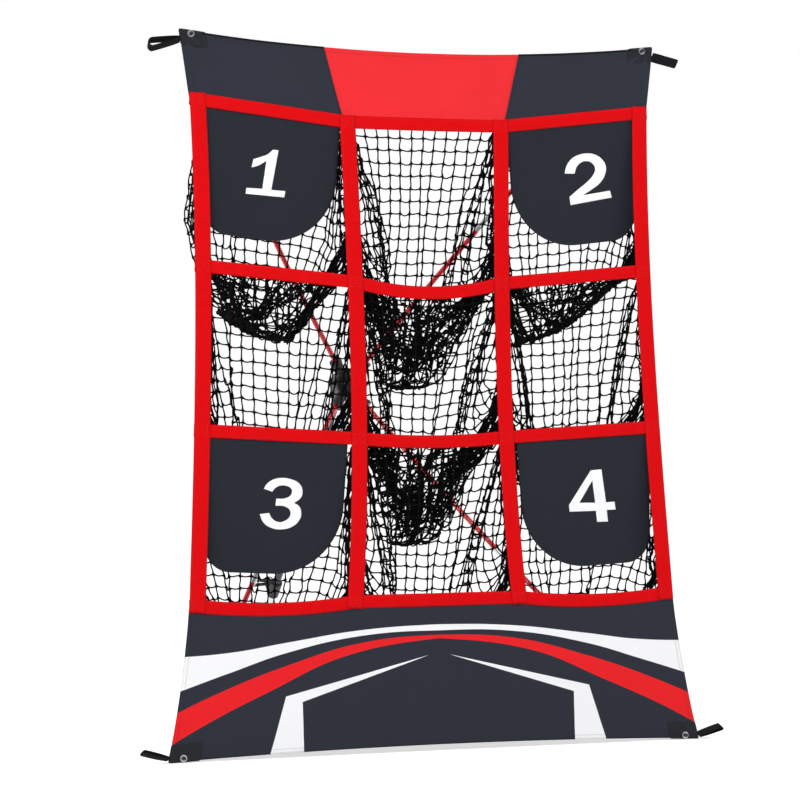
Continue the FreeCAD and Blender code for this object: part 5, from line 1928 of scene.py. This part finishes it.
def top_binding():
    """A narrow black binding folded over the top edge of the dark cloth, one on each side."""
    for side, side_name in SIDES:
        x = steps_between(RED_TOP_X, TOP_CORNER[0] - BINDING_END, WEB_STEP) * side
        line = top_seam(x, top_edge(x) - BINDING_W / 2 + BINDING_RISE, CLOTH_T / 2)
        binding = facing_strap("top_binding_" + side_name, line, BINDING_W,
                               CLOTH_T + 2 * BINDING_T, black_webbing)
        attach(binding, "frame")


sewn("cloth_stitches", top_seams() + bottom_seams(), dark_thread, "frame", "dark_cloth")
sewn("patch_stitches", patch_seams(), dark_thread, "frame", "patch_webbing")
for number, shape in flap_shapes.items():
    sewn("flap_stitches_%d" % number, flap_seams(shape), dark_thread, "flap_%d" % number,
         "flap_cloth")
top_binding()

# %% [markdown]
# The light is plain: a pale room that lights everything evenly, one large soft lamp from the
# upper left and a weaker one from the right, at a level where a colour looks as it is
# written. The floor runs up into a wall in one smooth sheet. It adds a little brightness of
# its own, but only for the camera and for reflections, so the background is white and the
# object isn't lit by it.

# %% Floor and light
FLOOR_HALF = 30.0
WALL_AT = 26.0
WALL_BEND = 6.0
BEND_STEPS = 12
FLOOR_GLOW = 0.48


def backdrop():
    """A pale floor that bends up into a wall far behind the object."""
    profile = [(-FLOOR_HALF, 0.0), (WALL_AT - WALL_BEND, 0.0)]
    for k in range(1, BEND_STEPS + 1):
        angle = math.pi / 2 * k / BEND_STEPS
        profile.append((WALL_AT - WALL_BEND + WALL_BEND * math.sin(angle),
                        WALL_BEND * (1 - math.cos(angle))))
    profile.append((WALL_AT, FLOOR_HALF))
    points = [(x, y, z) for y, z in profile for x in (-FLOOR_HALF, FLOOR_HALF)]
    faces = [(2 * i, 2 * i + 1, 2 * i + 3, 2 * i + 2) for i in range(len(profile) - 1)]
    floor = new_mesh("floor", points, faces)
    finish = Finish("pale_floor", (0.86, 0.86, 0.86), 0.9)
    rays = finish.add("ShaderNodeLightPath")
    seen = finish.sum("MAXIMUM", rays.outputs["Is Camera Ray"], rays.outputs["Is Glossy Ray"])
    seen = finish.sum("MAXIMUM", seen, rays.outputs["Is Transmission Ray"])
    glow = finish.add("ShaderNodeEmission", Color=(1, 1, 1, 1))
    finish.links.new(finish.sum("MULTIPLY", seen, FLOOR_GLOW), glow.inputs["Strength"])
    both = finish.nodes.new("ShaderNodeAddShader")
    finish.links.new(finish.shader.outputs[0], both.inputs[0])
    finish.links.new(glow.outputs[0], both.inputs[1])
    finish.links.new(both.outputs[0], finish.nodes["Material Output"].inputs["Surface"])
    floor.data.materials.append(finish.material)


def soft_lamp(name, place, aim, size, power):
    data = bpy.data.lights.new(name, "AREA")
    data.shape = "DISK"
    data.size = size
    data.energy = power
    lamp = linked(name, data)
    lamp.location = place
    lamp.rotation_euler = (Vector(aim) - Vector(place)).to_track_quat("-Z", "Y").to_euler()


backdrop()
soft_lamp("key_lamp", (-3.0, -4.5, 4.2), (0, -0.4, 0.8), 3.0, 190)
soft_lamp("fill_lamp", (4.5, -3.0, 2.5), (0, -0.4, 0.8), 3.0, 60)
world = bpy.data.worlds.new("room")
world.use_nodes = True
world.node_tree.nodes["Background"].inputs["Color"].default_value = (1, 1, 1, 1)
world.node_tree.nodes["Background"].inputs["Strength"].default_value = 0.62
bpy.context.scene.world = world
bpy.context.scene.view_settings.view_transform = "Standard"
